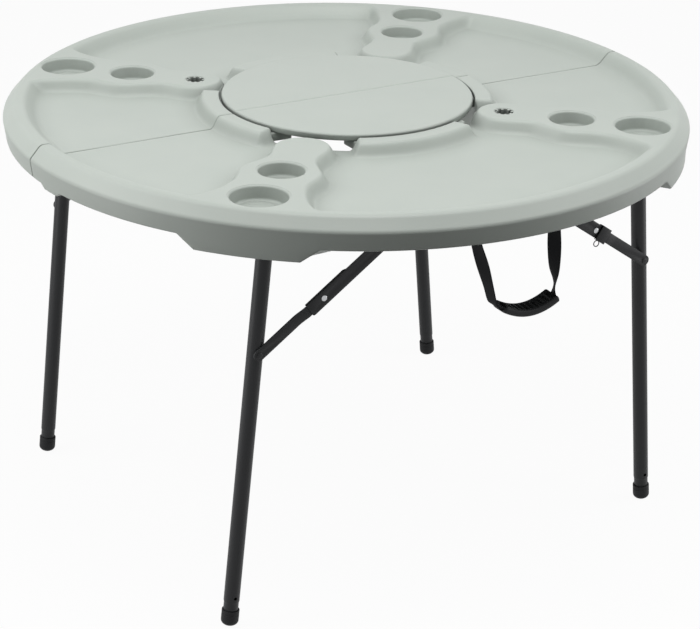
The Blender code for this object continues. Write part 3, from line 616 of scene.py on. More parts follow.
def combined(piece, tool, operation="DIFFERENCE"):
    """Applies a Boolean with a tool, which is then removed."""
    applied(piece, "BOOLEAN", operation=operation, solver="MANIFOLD", object=tool)
    discard(tool)
    return piece


def rounded(piece, width, segments=2, angle=50):
    """Rounds the edges that are sharper than an angle in degrees."""
    return applied(
        piece, "BEVEL", width=width, segments=segments, limit_method="ANGLE", angle_limit=radians(angle)
    )


def sliced(piece, place, normal):
    """Cuts the faces of a piece along a plane."""
    edit(piece)
    bpy.ops.mesh.bisect(plane_co=place, plane_no=normal)
    bpy.ops.object.mode_set(mode="OBJECT")


def put(piece, *steps):
    """Moves a piece's mesh by matrices, the first named being the outermost."""
    move = Matrix.Identity(4)
    for step in steps:
        move = move @ step
    piece.data.transform(move)
    if move.determinant() < 0:
        piece.data.flip_normals()
    return piece


def one_of(pieces):
    """Joins pieces into the first of them."""
    pick(*pieces)
    bpy.ops.object.join()
    return pieces[0]


def copy_of(piece):
    """A copy of a piece with its own mesh."""
    return added(piece.name, piece.data.copy())


def dressed(piece, name, slot, body=None, stands_for=None, angle=STEEL_SMOOTH):
    """Names and shades a finished piece, gives it its material, and lets it ride and stand for its node."""
    piece.name = name
    piece.data.name = name
    piece.data.materials.clear()
    piece.data.materials.append(finish_for(slot))
    pick(piece)
    bpy.ops.object.shade_smooth_by_angle(angle=radians(angle))
    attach(piece, body or BODY_OF[stands_for])
    if stands_for:
        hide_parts(stands_for)


def finished(piece, stands_for, slot, angle=STEEL_SMOOTH):
    """Dresses a piece that stands for one node."""
    dressed(piece, "finished_" + stands_for, slot, None, stands_for, angle)


def arc(radius, start, end, count, centre=(0, 0)):
    """Points on a circle, with angles in degrees."""
    angles = [radians(start + (end - start) * i / count) for i in range(count + 1)]
    return [(centre[0] + radius * cos(a), centre[1] + radius * sin(a)) for a in angles]


def bend(start, corner, end, count=6):
    """Points on a smooth bend from start to end that heads for a corner first."""
    start, corner, end = np.array(start), np.array(corner), np.array(end)
    shares = [i / count for i in range(count + 1)]
    return [tuple(start * (1 - t) ** 2 + corner * 2 * t * (1 - t) + end * t * t) for t in shares]


def lofted(rings):
    """A closed skin over rings of points, made in mesh code because no primitive has such a form."""
    count = len(rings[0])
    points = [tuple(p) for ring in rings for p in ring]
    faces = []
    for row in range(len(rings) - 1):
        for i in range(count):
            j = (i + 1) % count
            faces.append((row * count + i, row * count + j, (row + 1) * count + j, (row + 1) * count + i))
    faces.append(tuple(range(count)))
    faces.append(tuple(range(len(points) - count, len(points))))
    mesh = bpy.data.meshes.new("lofted")
    mesh.from_pydata(points, [], faces)
    return close_up(added("lofted", mesh))


def eased(start, end, values):
    """Goes smoothly from 0 at start to 1 at end."""
    share = np.clip((values - start) / (end - start), 0.0, 1.0)
    return share * share * (3.0 - 2.0 * share)


def within(span, values):
    """Rises smoothly to 1 between the first two values of a span and falls to 0 between the last two."""
    return eased(span[0], span[1], values) - eased(span[2], span[3], values)


def kneed(values, soft):
    """Zero below zero and straight above it, with a rounded knee of half width soft."""
    knee = (values + soft) ** 2 / (4.0 * soft)
    return np.where(values < -soft, 0.0, np.where(values > soft, values, knee))


def nearest(first, second, soft):
    """The lower of two heights, with the corner between them filled."""
    share = np.maximum(soft - np.abs(first - second), 0.0) / soft
    return np.minimum(first, second) - share * share * soft / 4.0


def spoke_width(along):
    """Half width of a spoke and its slope, along its length."""
    places, widths = np.array(SPOKE_WIDTHS).T
    slopes = np.zeros(len(places))
    slopes[1:-1] = (widths[2:] - widths[:-2]) / (places[2:] - places[:-2])
    slopes[-1] = SPOKE_FLARE * (widths[-1] - widths[-2]) / (places[-1] - places[-2])
    x = np.clip(along, places[0], places[-1] - 1e-9)
    index = np.clip(np.searchsorted(places, x, side="right") - 1, 0, len(places) - 2)
    step = places[index + 1] - places[index]
    t = (x - places[index]) / step
    low, high = widths[index], widths[index + 1]
    start, end = slopes[index] * step, slopes[index + 1] * step
    width = (2 * t**3 - 3 * t**2 + 1) * low + (t**3 - 2 * t**2 + t) * start
    width += (3 * t**2 - 2 * t**3) * high + (t**3 - t**2) * end
    slope = (6 * t**2 - 6 * t) * (low - high) + (3 * t**2 - 4 * t + 1) * start + (3 * t**2 - 2 * t) * end
    return width, slope / step


def spoke_distance(radius, angle):
    """How far a point lies outside the upper face of a spoke, whose line is at angle zero."""
    x, y = radius * np.cos(angle), np.abs(radius * np.sin(angle))
    width, slope = spoke_width(x)
    side = (y - width) / np.sqrt(1.0 + slope**2)
    tip = np.hypot(x - SPOKE_TIP_PLACE, y) - SPOKE_WIDTHS[0][1]
    return np.where(x < SPOKE_TIP_PLACE, tip, side)


def curb_distance(radius, angle, half_angle):
    """How far a point lies outside the upper face of a curb, whose middle is at angle zero."""
    outer = sizes().opening_radius + sizes().curb_width
    past = np.abs(angle) - half_angle
    along, beside = radius * np.cos(past), radius * np.sin(past)
    outside = np.hypot(np.maximum(along - outer, 0.0), beside)
    inside = np.maximum(radius - outer, np.where(radius > outer, -1.0, beside))
    return np.where(past > 0, outside, np.where(radius > outer, radius - outer, inside))


def top_height(radius, angle):
    """Height of the moulded upper surface at a radius and at an angle from the start of the half."""
    table = sizes()
    fall = (table.top_radius - table.rim_width - radius) / RIM_SLOPE_RUN
    for middle in SPOKES:
        wall = spoke_distance(radius, angle - radians(middle)) / SPOKE_DRAFT
        fall = nearest(fall, wall, SPOKE_FILLET)
    for middle, half_angle in CURBS:
        wall = curb_distance(radius, angle - radians(middle), half_angle) / CURB_DRAFT
        fall = nearest(fall, wall, CURB_FILLET)
    ramp = kneed(fall, CREST_KNEE) - kneed(fall - 1.0, FOOT_KNEE)
    return table.table_height - table.tray_depth * ramp


def half_angles():
    """Angles of the sections of one half, closest together at the seam and across the spokes."""
    found = list(SEAM_SECTIONS[0])
    for start, end, count in SECTION_SPANS:
        found += [start + (end - start) * i / count for i in range(count)]
    return np.radians(np.array(found + list(SEAM_SECTIONS[1])))


def seam_inset(beside):
    """How far the surface sinks at a distance from the seam."""
    return sizes().seam_soften * np.clip(1.0 - beside / SEAM_REACH, 0.0, 1.0) ** SEAM_POWER


def rim_edge(outer, crown):
    """The rim's outer edge: a soft crest, a sloping shoulder and a small round down into the skirt."""
    crest, foot = outer - RIM_SHOULDER[0], crown - RIM_SHOULDER[1]
    points = bend(
        (crest - 2.0 * RIM_ROUND, crown),
        (crest - 0.4 * RIM_ROUND, crown),
        (crest + 0.6 * RIM_ROUND, crown - 1.2 * RIM_ROUND),
    )
    return points + bend(
        (outer - RIM_ROUND, foot + 0.5 * RIM_ROUND),
        (outer, foot - 0.4 * RIM_ROUND),
        (outer - HAIR, foot - 1.5 * RIM_ROUND),
    )


def skirt_feet(angles):
    """Heights of the skirt's lower edge, outside and inside, with pads under the spokes and a lug."""
    base = sizes().table_height - SKIRT_DEPTH
    lug = within(LUG_SPAN, np.degrees(angles))
    feet = []
    for ramp_end in (PAD_HALF_ANGLE, PAD_RAMP_ANGLE):
        drop = np.zeros(len(angles))
        for middle in SPOKES:
            past = angles - radians(middle)
            end = np.where(past > 0, ramp_end, PAD_HALF_ANGLE)
            share = 1.0 - np.clip((np.abs(past) - PAD_FLAT_ANGLE) / (end - PAD_FLAT_ANGLE), 0.0, 1.0)
            drop = np.maximum(drop, share)
        feet.append(base - (PAD_DEPTH - SKIRT_DEPTH) * drop - LUG_DEPTH * lug)
    return feet


def half_sections():
    """Rings of points round the section of the front half, one for each angle."""
    table = sizes()
    crown, inner, outside = table.table_height, table.opening_radius, table.top_radius
    under, edge = crown - PANEL_DEPTH, SKIRT_EDGE
    wall = outside - SKIRT_DRAFT - SKIRT_WALL
    breaks = (inner + LIP_ROUND, *ROW_BREAKS, outside - RIM_SHOULDER[0] - 2.1 * RIM_ROUND)
    rows = np.concatenate([np.arange(*span) for span in zip(breaks, breaks[1:], ROW_STEPS)])
    angles = half_angles()
    spread = np.minimum(angles, pi - angles)
    radius, angle = np.meshgrid(rows, angles)
    height = top_height(radius, angle) - seam_inset(radius * np.sin(spread)[:, None])
    outer_foot, inner_foot = skirt_feet(angles)
    hang = COLLAR_HANG * within(HANG_SPAN, np.degrees(angles))
    lean = np.zeros(len(angles))
    for middle, half_angle in CURBS:
        past = np.abs(angles - radians(middle)) - half_angle
        lean = np.maximum(lean, 1.0 - eased(0.0, LEAN_RUN, past))
    rings = []
    for j, turn in enumerate(angles):
        hem = under - COLLAR[0] - float(hang[j])
        lip = inner - CURB_LEAN * float(lean[j])
        start = height[j, 0] - LIP_ROUND
        section = [(inner + COLLAR[1] / 2, hem), (inner, hem + EDGE_STEP), (lip, start)]
        section += [(lip + LIP_ROUND - x, z) for x, z in arc(LIP_ROUND, 0, 90, 3, (0, start))[1:-1]]
        section += list(zip(rows, height[j]))
        outer = outside - float(seam_inset(outside * sin(spread[j])))
        skirt = outer - SKIRT_DRAFT
        section += rim_edge(outer, height[j, -1])
        section.append((skirt, max(crown - SKIRT_DEPTH, outer_foot[j] + edge + EDGE_STEP)))
        section += [(skirt - edge + x, outer_foot[j] + edge + z) for x, z in arc(edge, 0, -90, 4)]
        section += [(wall + edge - x, inner_foot[j] + edge + z) for x, z in arc(edge, -90, 0, 4)]
        section += [(wall - SKIRT_DRAFT + EDGE_STEP, under - edge), (wall - SKIRT_DRAFT - edge, under)]
        section += [(r, under) for r in np.linspace(wall - PANEL_INSETS[0], inner + PANEL_INSETS[1], 8)]
        section += [(inner + COLLAR[1] + COLLAR_FILLET, under)]
        section += [(inner + COLLAR[1], under - COLLAR_FILLET), (inner + COLLAR[1], hem + EDGE_STEP)]
        rings.append([(-r * cos(turn), -r * sin(turn) - SEAM / 2, z) for r, z in section])
    return rings


def mouth(radius, lip, count):
    """The profile of a cutter from the axis over the crown, round a softened mouth, to the hollow's wall."""
    crown, wide = sizes().table_height, radius + lip
    above = [(0, crown + CUT_CLEAR), (wide, crown + CUT_CLEAR), (wide, crown - LIP_SINK)]
    return above + arc(lip, 105, 180, count, (wide, crown - lip - LIP_SINK))


def cup_cutter(radius):
    """The hollow of a cup holder: a rounded lip, a drafted wall, a round corner and a ring in the floor."""
    floor = sizes().table_height - sizes().cup_depth
    corner = radius - CUP_DRAFT - CUP_FLOOR_ROUND
    profile = mouth(radius, CUP_LIP, 5)
    profile += arc(CUP_FLOOR_ROUND, 0, -90, 6, (corner, floor + CUP_FLOOR_ROUND))
    profile += [(corner - inset, floor - depth) for inset, depth in CUP_RING]
    return turned(profile + [(0, floor - CUP_RING[-1][1])], 72)


def pole_cutter():
    """The hollow of a pole socket: a round hole with ribs standing in from its wall and a softened mouth."""
    crown = sizes().table_height
    width, tall = POLE_RIB
    profile = mouth(POLE_RADIUS, POLE_LIP, 4)
    piece = turned(profile + [(POLE_RADIUS, crown - POLE_DEPTH), (0, crown - POLE_DEPTH)], 48)
    ends = (crown - POLE_DEPTH - CUT_CLEAR, crown - POLE_RIB_DROP)
    for index in range(POLE_RIBS):
        rib = block((POLE_RADIUS - tall, POLE_RIB_REACH), (-width / 2, width / 2), ends)
        combined(piece, put(rib, rotated(tau * (index + 0.5) / POLE_RIBS)))
    return piece


def ledge(start, end):
    """A ledge that carries the lid, between two angles in degrees, with rounded edges and tapered ends."""
    opening = sizes().opening_radius
    ends = [end if end == 360 else end - LEDGE_TAPER, start if start == 180 else start + LEDGE_TAPER]
    outline = arc(opening - LEDGE_WIDTH, start, end, 24) + arc(opening + BITE, *ends, 24)
    outline = [(x, min(y, -SEAM / 2)) for x, y in outline]
    top = sizes().table_height + LID_RISE - LID_THICKNESS - GAP
    return rounded(prism(outline, top - LEDGE_THICKNESS, top, "Z"), PLASTIC_ROUND, 3)


class TABLE_OT_top(bpy.types.Operator):
    """Moulds the two halves of the top, with spokes, cup holders, curbs, skirt and ledges"""

    bl_idname = "table.top"
    bl_label = "Moulded top"

    def execute(self, context):
        table = sizes()
        half = lofted(half_sections())
        for start, end in LEDGES:
            combined(half, ledge(start, end), "UNION")
        start, end, width = SEAM_RIB
        low = table.table_height - PAD_DEPTH + HINGE_BARREL + GAP
        high = table.table_height - table.tray_depth - SEAM_RIB_COVER
        for side in (-1, 1):
            rib = block(sorted((side * start, side * end)), (-width, -SEAM / 2), (low, high))
            combined(half, rounded(rib, PLASTIC_ROUND), "UNION")
        for angle in (225, 315):
            aim = rotated(radians(angle))
            for place, radius in ((SMALL_CUP_PLACE, table.small_cup), (LARGE_CUP_PLACE, table.large_cup)):
                combined(half, put(cup_cutter(radius), aim, moved(place)))
            if angle == 315:
                combined(half, put(pole_cutter(), aim, moved(SPOKE_TIP_PLACE)))
        other = put(copy_of(half), rotated(pi))
        finished(half, "front_top", "moulded", PLASTIC_SMOOTH)
        finished(other, "back_top", "moulded", PLASTIC_SMOOTH)
        return {"FINISHED"}


class TABLE_OT_lid(bpy.types.Operator):
    """Moulds the lift-out lid with a soft crease in line with the seam"""

    bl_idname = "table.lid"
    bl_label = "Lid"

    def execute(self, context):
        table = sizes()
        high, radius = table.table_height + LID_RISE, table.lid_radius
        low = high - LID_THICKNESS
        rim, floor, hollow = LID_HOLLOW
        profile = [(0, high), (radius * 0.5, high)]
        profile += arc(LID_ROUND, 90, 0, 6, (radius - LID_ROUND, high - LID_ROUND))
        profile += arc(LID_ROUND / 2, 0, -90, 3, (radius - LID_ROUND / 2, low + LID_ROUND / 2))
        profile += [(radius - rim, low), (radius - floor, low + hollow), (0, low + hollow)]
        lid = turned(profile, 144)
        for place in [-cut for cut in CREASE_CUTS] + [0.0] + list(CREASE_CUTS[::-1]):
            sliced(lid, (0, place, 0), (0, 1, 0))
        for vertex in lid.data.vertices:
            if vertex.co.z > high - LID_ROUND / 2:
                vertex.co.z -= table.crease_depth * exp(-(vertex.co.y / CREASE_SPREAD) ** 2)
        finished(close_up(lid), "lid", "moulded", PLASTIC_SMOOTH)
        return {"FINISHED"}


def leg_frame(name):
    """The frame of a leg, on its pivot under the top, and the mirror of its brace."""
    turn, (x, y), side, _ = LEGS[name]
    height = sizes().table_height - PANEL_DEPTH - PIVOT_DROP
    return moved(x, y, height) @ rotated(radians(turn)), mirrored(side)


def leg_length():
    """The pivot to the floor along a leg."""
    return (sizes().table_height - PANEL_DEPTH - PIVOT_DROP) / cos(LEG_LEAN)


def leg_tube():
    """A steel tube hanging from its pivot, narrowed at the bottom, with a pin hole and a button hole."""
    radius = sizes().tube_radius
    end = FOOT_FLOOR + GAP - leg_length()
    swage = end + SWAGE[0]
    narrow = radius - SWAGE[1]
    inner = narrow - TUBE_WALL
    profile = [(radius - TUBE_LIP, TUBE_HEAD), (radius, TUBE_HEAD - TUBE_LIP)]
    profile += [(radius - SWAGE[1] * share, swage + rise) for share, rise in SWAGE_RAMP]
    profile += [(narrow, end), (inner, end), (inner, TUBE_HEAD)]
    tube = turned(profile + [profile[0]], 40)
    combined(tube, rod(LEG_PIN + GAP, -2 * radius, 2 * radius))
    return combined(tube, rod(BUTTON[0], 0, 2 * radius, (0, BUTTON[1] - leg_length())))


def foot_cap():
    """A rubber foot: a socket round the tube with a rolled lip, a shallow groove and a domed end."""
    end = -leg_length()
    socket = sizes().tube_radius - SWAGE[1] + GAP
    top = end + FOOT_HEIGHT
    lip = (FOOT_RADIUS - socket) / 2
    profile = [(0, end + FOOT_FLOOR), (socket, end + FOOT_FLOOR)]
    profile += arc(lip, 180, 0, 6, (socket + lip, top - lip))
    profile += [(FOOT_RADIUS - depth, top - drop) for depth, drop in FOOT_GROOVE]
    profile.append((FOOT_RADIUS, end + FOOT_DOME))
    for x, y in arc(1.0, 0, -90, 8)[1:-1]:
        profile.append((FOOT_RADIUS * x, end + FOOT_DOME + y * (FOOT_DOME + GAP)))
    return turned(profile + [(0, end - GAP)], 40)


class TABLE_OT_legs(bpy.types.Operator):
    """Makes the four leg tubes and their rubber feet"""

    bl_idname = "table.legs"
    bl_label = "Legs and feet"

    def execute(self, context):
        tube, cap = leg_tube(), foot_cap()
        lean = rotated(LEG_LEAN, "Y")
        for name in LEGS:
            base, mirror = leg_frame(name)
            finished(put(copy_of(tube), base, lean, mirror), "leg_tube_" + name, "powder")
            foot = put(copy_of(cap), base, lean)
            edit(foot)
            bpy.ops.mesh.bisect(plane_co=(0, 0, 0), plane_no=(0, 0, 1), use_fill=True, clear_inner=True)
            finished(close_up(foot), "foot_cap_" + name, "rubber")
        discard(tube, cap)
        return {"FINISHED"}


def dome(radius, height, base, way=1):
    """The profile of a domed head on a base, from its top to its edge."""
    return [(radius * across, base + way * height * up) for across, up in DOME]


def pin(inner, outer, radius=RIVET_RADIUS, head=RIVET_HEAD):
    """A pin along +Y with a domed head past its outer end and a chamfered tip."""
    profile = dome(*head, outer) + [(radius, outer), (radius, inner + PIN_CHAMFER)]
    return put(turned(profile + [(radius - PIN_CHAMFER, inner), (0, inner)]), rotated(-pi / 2, "X"))


def rivet(inner, outer):
    """A rivet along +Y with a domed head at both ends."""
    profile = dome(*RIVET_HEAD, outer) + [(RIVET_RADIUS, outer), (RIVET_RADIUS, inner)]
    return put(turned(profile + dome(*RIVET_HEAD, inner, -1)[::-1]), rotated(-pi / 2, "X"))


def screws(places):
    """Pan-head screws under a plate, their heads down, with cross recesses."""
    reach, half, *ends = RECESS
    made = []
    for place in places:
        piece = turned(SCREW, 20)
        for angle in (20, 110):
            groove = block((-reach, reach), (-half, half), ends)
            combined(piece, put(groove, rotated(radians(angle))))
        made.append(put(piece, moved(*place)))
    return one_of(made)


def ear(radius, top):
    """The outline of an ear that hangs from a plate, with a round end about its hole."""
    sides = [(-radius, top - BITE), (-radius, 0)], [(radius, 0), (radius, top - BITE)]
    return sides[0] + arc(radius, 180, 360, 16)[1:-1] + sides[1]


def bracket(sides, ears, bore, corner=None):
    """A bent steel bracket: a plate under the top between two sides, with ears that a hole goes through."""
    top, half = PIVOT_DROP - GAP, BRACKET_LENGTH / 2
    piece = block((-half, half), sides, (top - BRACKET_SHEET, top))
    if corner:
        rounded(piece, corner, 3, 60)
    for low, high in ears:
        combined(piece, prism(ear(EAR_RADIUS, top), low, high), "UNION")
    return rounded(combined(piece, bore), SHEET_ROUND)


def leg_bracket():
    """A bracket with an ear on each side of the leg."""
    inner = sizes().tube_radius + GAP
    outer = inner + BRACKET_SHEET
    bore = rod(LEG_PIN + GAP, -2 * outer, 2 * outer)
    return bracket((-outer, outer), ((-outer, -inner), (inner, outer)), bore, BRACKET_CORNER)


def brace_bracket():
    """A bracket with one ear for the arm of a brace."""
    outer = ARM_IN - GAP
    inner = outer - BRACKET_SHEET
    return bracket((inner - EAR_RADIUS, outer), ((inner, outer),), rod(RIVET_RADIUS + GAP, 0, 2 * outer))


class TABLE_OT_brackets(bpy.types.Operator):
    """Makes the leg and brace brackets under the top, with their pins and screws"""

    bl_idname = "table.brackets"
    bl_label = "Brackets and pins"

    def execute(self, context):
        outer = sizes().tube_radius + GAP + BRACKET_SHEET + GAP
        patterns = {
            "leg_bracket_": (leg_bracket(), "powder"),
            "brace_bracket_": (brace_bracket(), "powder"),
            "leg_pin_": (put(pin(-outer, outer, LEG_PIN, LEG_PIN_HEAD), mirrored(-1)), "zinc"),
            "brace_pin_": (pin(ARM_IN - BRACKET_SHEET - 2 * GAP, ARM_OUT + GAP), "zinc"),
        }
        under = PIVOT_DROP - GAP - BRACKET_SHEET
        inner = ARM_IN - GAP - BRACKET_SHEET - EAR_RADIUS / 2
        spots = [(x, 0, under) for x in BRACKET_SCREWS]
        spots += [(ARM_PLACE + x, inner, under) for x in BRACKET_SCREWS]
        for name in LEGS:
            base, mirror = leg_frame(name)
            for kind, (pattern, slot) in patterns.items():
                slide = moved(ARM_PLACE if kind.startswith("brace") else 0)
                finished(put(copy_of(pattern), base, slide, mirror), kind + name, slot)
            heads = put(screws(spots), base, mirror)
            dressed(heads, "bracket_screws_" + name, "zinc", BODY_OF["leg_bracket_" + name])
        discard(*[pattern for pattern, _ in patterns.values()])
        return {"FINISHED"}


def bored(piece, span):
    """Cuts the rivet holes at both ends of a bar and rounds its edges."""
    for x in (0, -span):
        combined(piece, rod(RIVET_RADIUS + GAP, 0, BORE, (x, 0)))
    return rounded(piece, BAR_ROUND)


def brace_strap():
    """The lower bar of a brace: a flat bar with round ends, stepped sideways near the elbow."""
    half = sizes().strap_width / 2
    outline = arc(half, 90, -90, 14) + arc(half, -90, -270, 14, (-STRAP_LENGTH, 0))
    piece = bored(prism(outline, STRAP_IN, STRAP_IN + STRAP_THICKNESS), STRAP_LENGTH)
    start, run = JOG
    for share in JOG_CUTS:
        sliced(piece, (-start - run * share, 0, 0), (1, 0, 0))
    for vertex in piece.data.vertices:
        vertex.co.y += STRAP_JOG * float(eased(-start - run, -start, np.array(vertex.co.x)))
    return close_up(piece)


def brace_arm():
    """The upper bar of a brace: it runs past the elbow and has a flange folded over its upper edge."""
    half = sizes().arm_width / 2
    tail = -ARM_LENGTH - ARM_TAIL
    outline = arc(half, 90, -90, 16) + arc(ARM_CORNER, -90, -180, 5, (tail + ARM_CORNER, ARM_CORNER - half))
    outline += [(tail, half - BITE), (tail + BITE, half)]
    piece = prism(outline, ARM_IN, ARM_OUT)
    near, far = ARM_OUT - HAIR, ARM_OUT - ARM_FLANGE
    reach = ARM_FLANGE_REACH - ARM_LENGTH
    fold = [(tail + BITE, near), (tail + BITE, far), (reach - ARM_FLANGE_SLOPE, far), (reach, near)]
    combined(piece, prism(fold, half - (ARM_OUT - ARM_IN), half, "Z"), "UNION")
    return bored(piece, ARM_LENGTH)


def brace_lock():
    """The sliding lock of a brace: a clip hooked over both edges of the arm."""
    half = sizes().arm_width / 2 + GAP
    outer = LOCK_IN + LOCK_SHEET
    hook = ARM_OUT - ARM_FLANGE - GAP
    tall = half + LOCK_SHEET
    lip = half - (ARM_OUT - ARM_IN)
    end = hook - LOCK_SHEET
    outline = [(outer, -tall), (outer, tall), (end, tall), (end, lip), (hook, lip), (hook, half)]
    outline += [(LOCK_IN, half), (LOCK_IN, -half), (ARM_IN, -half), (ARM_IN, -tall)]
    return rounded(prism(outline, -LOCK_LENGTH / 2, LOCK_LENGTH / 2, "X"), SHEET_ROUND)


def lock_ring():
    """A wire ring at the lower edge of the lock, for a finger."""
    radius, wire = RING
    bpy.ops.mesh.primitive_circle_add(vertices=12, radius=wire, fill_type="NOTHING")
    ring = bpy.context.object
    upright = rotated(pi / 2, "X")
    ring.data.transform(moved(radius) @ upright)
    edit(ring)
    along, out, drop = RING_PLACE
    low = -sizes().arm_width / 2 - LOCK_SHEET - drop
    return put(spun(ring, 32), moved(along, ARM_OUT + out, low), upright)


class TABLE_OT_braces(bpy.types.Operator):
    """Makes the folding braces: arms, straps, rivets, and the locks on one diagonal"""

    bl_idname = "table.braces"
    bl_label = "Folding braces"

    def execute(self, context):
        elbow = moved(-ARM_LENGTH)
        foot = elbow @ moved(-STRAP_LENGTH)
        clip = moved(-ARM_LENGTH - LOCK_PLACE)
        leg_rivet = pin(STRAP_IN, STRAP_IN + STRAP_THICKNESS + GAP)
        patterns = {
            "brace_arm_": (brace_arm(), moved(), "powder"),
            "elbow_rivet_": (rivet(STRAP_IN + STRAP_JOG - GAP, ARM_OUT + GAP), elbow, "zinc"),
            "brace_strap_": (brace_strap(), elbow, "powder"),
            "leg_rivet_": (leg_rivet, foot, "powder"),
            "brace_lock_": (brace_lock(), clip, "powder"),
        }
        ring = lock_ring()
        for name, (_, _, _, locked) in LEGS.items():
            base, mirror = leg_frame(name)
            shoulder = base @ moved(ARM_PLACE) @ rotated(-BRACE_ANGLE, "Y")
            for kind, (pattern, slide, slot) in patterns.items():
                if kind != "brace_lock_" or locked:
                    finished(put(copy_of(pattern), shoulder, mirror, slide), kind + name, slot)
            if locked:
                wire = put(copy_of(ring), shoulder, mirror, clip)
                dressed(wire, "lock_ring_" + name, "powder", BODY_OF["brace_lock_" + name])
        discard(ring, *[pattern for pattern, _, _ in patterns.values()])
        return {"FINISHED"}


def hinge_leaf(which, toward):
    """One leaf of a hinge about X: a plate with rolled knuckles on the seam."""
    width, sheet = HINGE_LEAF
    top = HINGE_BARREL
    clear = HINGE_BARREL + 2 * GAP
    half, step = HINGE_LENGTH / 2, HINGE_LENGTH / 3
    along = rotated(-pi / 2)
    piece = block((-half, half), sorted((toward * clear, toward * width)), (top - sheet, top))
    for index in range(which, 3, 2):
        ends = -half + index * step + GAP, -half + (index + 1) * step - GAP
        web = block(ends, sorted((0, toward * (clear + sheet))), (top - sheet, top - HAIR))
        combined(piece, web, "UNION")
        combined(piece, put(rod(HINGE_BARREL, *ends, steps=28), along), "UNION")
    bore = put(rod(HINGE_PIN + GAP, -HINGE_LENGTH, HINGE_LENGTH), along)
    return rounded(combined(piece, bore), SHEET_ROUND)


class TABLE_OT_hinges(bpy.types.Operator):
    """Makes the two hinges under the seam, with their pins and screws"""

    bl_idname = "table.hinges"
    bl_label = "Hinges"

    def execute(self, context):
        half, low = HINGE_LENGTH / 2, HINGE_BARREL - HINGE_LEAF[1]
        beside, places = HINGE_SCREWS
        narrow = HINGE_PIN - HINGE_PIN_CHAMFER
        profile = [(0, half), (narrow, half), (HINGE_PIN, half - HINGE_PIN_CHAMFER)]
        profile += [(HINGE_PIN, HINGE_PIN_CHAMFER - half), (narrow, -half), (0, -half)]
        for name, side in (("left", -1), ("right", 1)):
            place = moved(side * HINGE_PLACE, 0, sizes().table_height - PAD_DEPTH)
            for leaf, which, toward in (("front", 0, -1), ("back", 1, 1)):
                node_name = "hinge_" + leaf + "_leaf_" + name
                finished(put(hinge_leaf(which, toward), place), node_name, "powder")
                heads = put(screws([(x, toward * beside, low) for x in places]), place)
                dressed(heads, "hinge_screws_" + leaf + "_" + name, "zinc", BODY_OF[node_name])
            finished(put(turned(profile), place, rotated(pi / 2, "Y")), "hinge_pin_" + name, "zinc")
        return {"FINISHED"}


def smooth_line(points, steps):
    """More points on a smooth line through the given ones."""
    ends = [2 * points[0] - points[1]] + list(points) + [2 * points[-1] - points[-2]]
    found = []
    for a, b, c, d in zip(ends, ends[1:], ends[2:], ends[3:]):
        square, cube = 2 * a - 5 * b + 4 * c - d, 3 * b - a - 3 * c + d
        for t in [i / steps for i in range(steps)]:
            found.append(0.5 * (2 * b + (c - a) * t + square * t**2 + cube * t**3))
    return found + [points[-1]]


def grip_line(across):
    """The middle line of the grip in X and Z, from -1 at its left end to 1 at its right end."""
    return Vector((HANDLE_SWAY + across * GRIP_LENGTH / 2, HANDLE_LOW_Z + GRIP_SAG * across * across))


def webbing_line():
    """The webbing's middle line in X and Z: down from one anchor, through the grip and up to the other."""
    top = HANDLE_PIVOT_Z + STRAP_END
    straight = top - 4 * STRAP_END
    bottom = [grip_line(i / 4 - 1) for i in range(9)]
    corner = bottom[0] + Vector((-HANDLE_CORNER, HANDLE_CORNER / 2))
    sides = []
    for start, end in ((-HANDLE_HALF_SPAN, corner), (HANDLE_HALF_SPAN, bottom[-1])):
        side = [Vector((start, top)), Vector((start, straight))]
        for share in SIDE_SHARES:
            side.append(Vector((start + (end.x - start) * share, straight + (end.y - straight) * share)))
        sides.append(side)
    return smooth_line(sides[0] + [corner] + bottom + sides[1][::-1], 8)


def across_line(ahead):
    """The direction in X and Z square to a line that heads ahead."""
    ahead.normalize()
    return Vector((-ahead.y, ahead.x))


def webbing_strap():
    """The woven strap: a flat band with soft edges that twists on its way between anchors and grip."""
    line = webbing_line()
    half, thick = sizes().webbing_width / 2, WEBBING_THICKNESS / 2
    flat = half - WEBBING_EDGE
    section = [(-half, 0), (-flat, thick), (0, thick), (flat, thick)]
    section += [(half, 0), (flat, -thick), (0, -thick), (-flat, -thick)]
    rings, along = [], [0.0]
    for before, after in zip(line, line[1:]):
        along.append(along[-1] + (after - before).length)
    for index, point in enumerate(line):
        side = across_line(line[min(index + 1, len(line) - 1)] - line[max(index - 1, 0)])
        left_right = (along[index], along[-1] - along[index])
        shares = [size * exp(-((left_right[end] - place) / wide) ** 2) for size, end, place, wide in TWISTS]
        twist = radians(sum(shares))
        ring = []
        for across, lift in section:
            y = across * cos(twist) - lift * sin(twist)
            out = across * sin(twist) + lift * cos(twist)
            ring.append((point.x + side.x * out, HANDLE_Y + y, point.y + side.y * out))
        rings.append(ring)
    piece = lofted(rings)
    layer = piece.data.uv_layers.new(name="weave")
    where = np.array([(p.x, p.y) for p in line])
    for loop in piece.data.loops:
        place = piece.data.vertices[loop.vertex_index].co
        index = int(np.argmin((where[:, 0] - place.x) ** 2 + (where[:, 1] - place.z) ** 2))
        layer.data[loop.index].uv = (place.y - HANDLE_Y, along[index])
    for side in (-1, 1):
        hole = put(rod(RIVET_RADIUS + GAP, -CUT_CLEAR, CUT_CLEAR), rotated(pi / 2))
        combined(piece, put(hole, moved(side * HANDLE_HALF_SPAN, HANDLE_Y, HANDLE_PIVOT_Z)))
    return piece


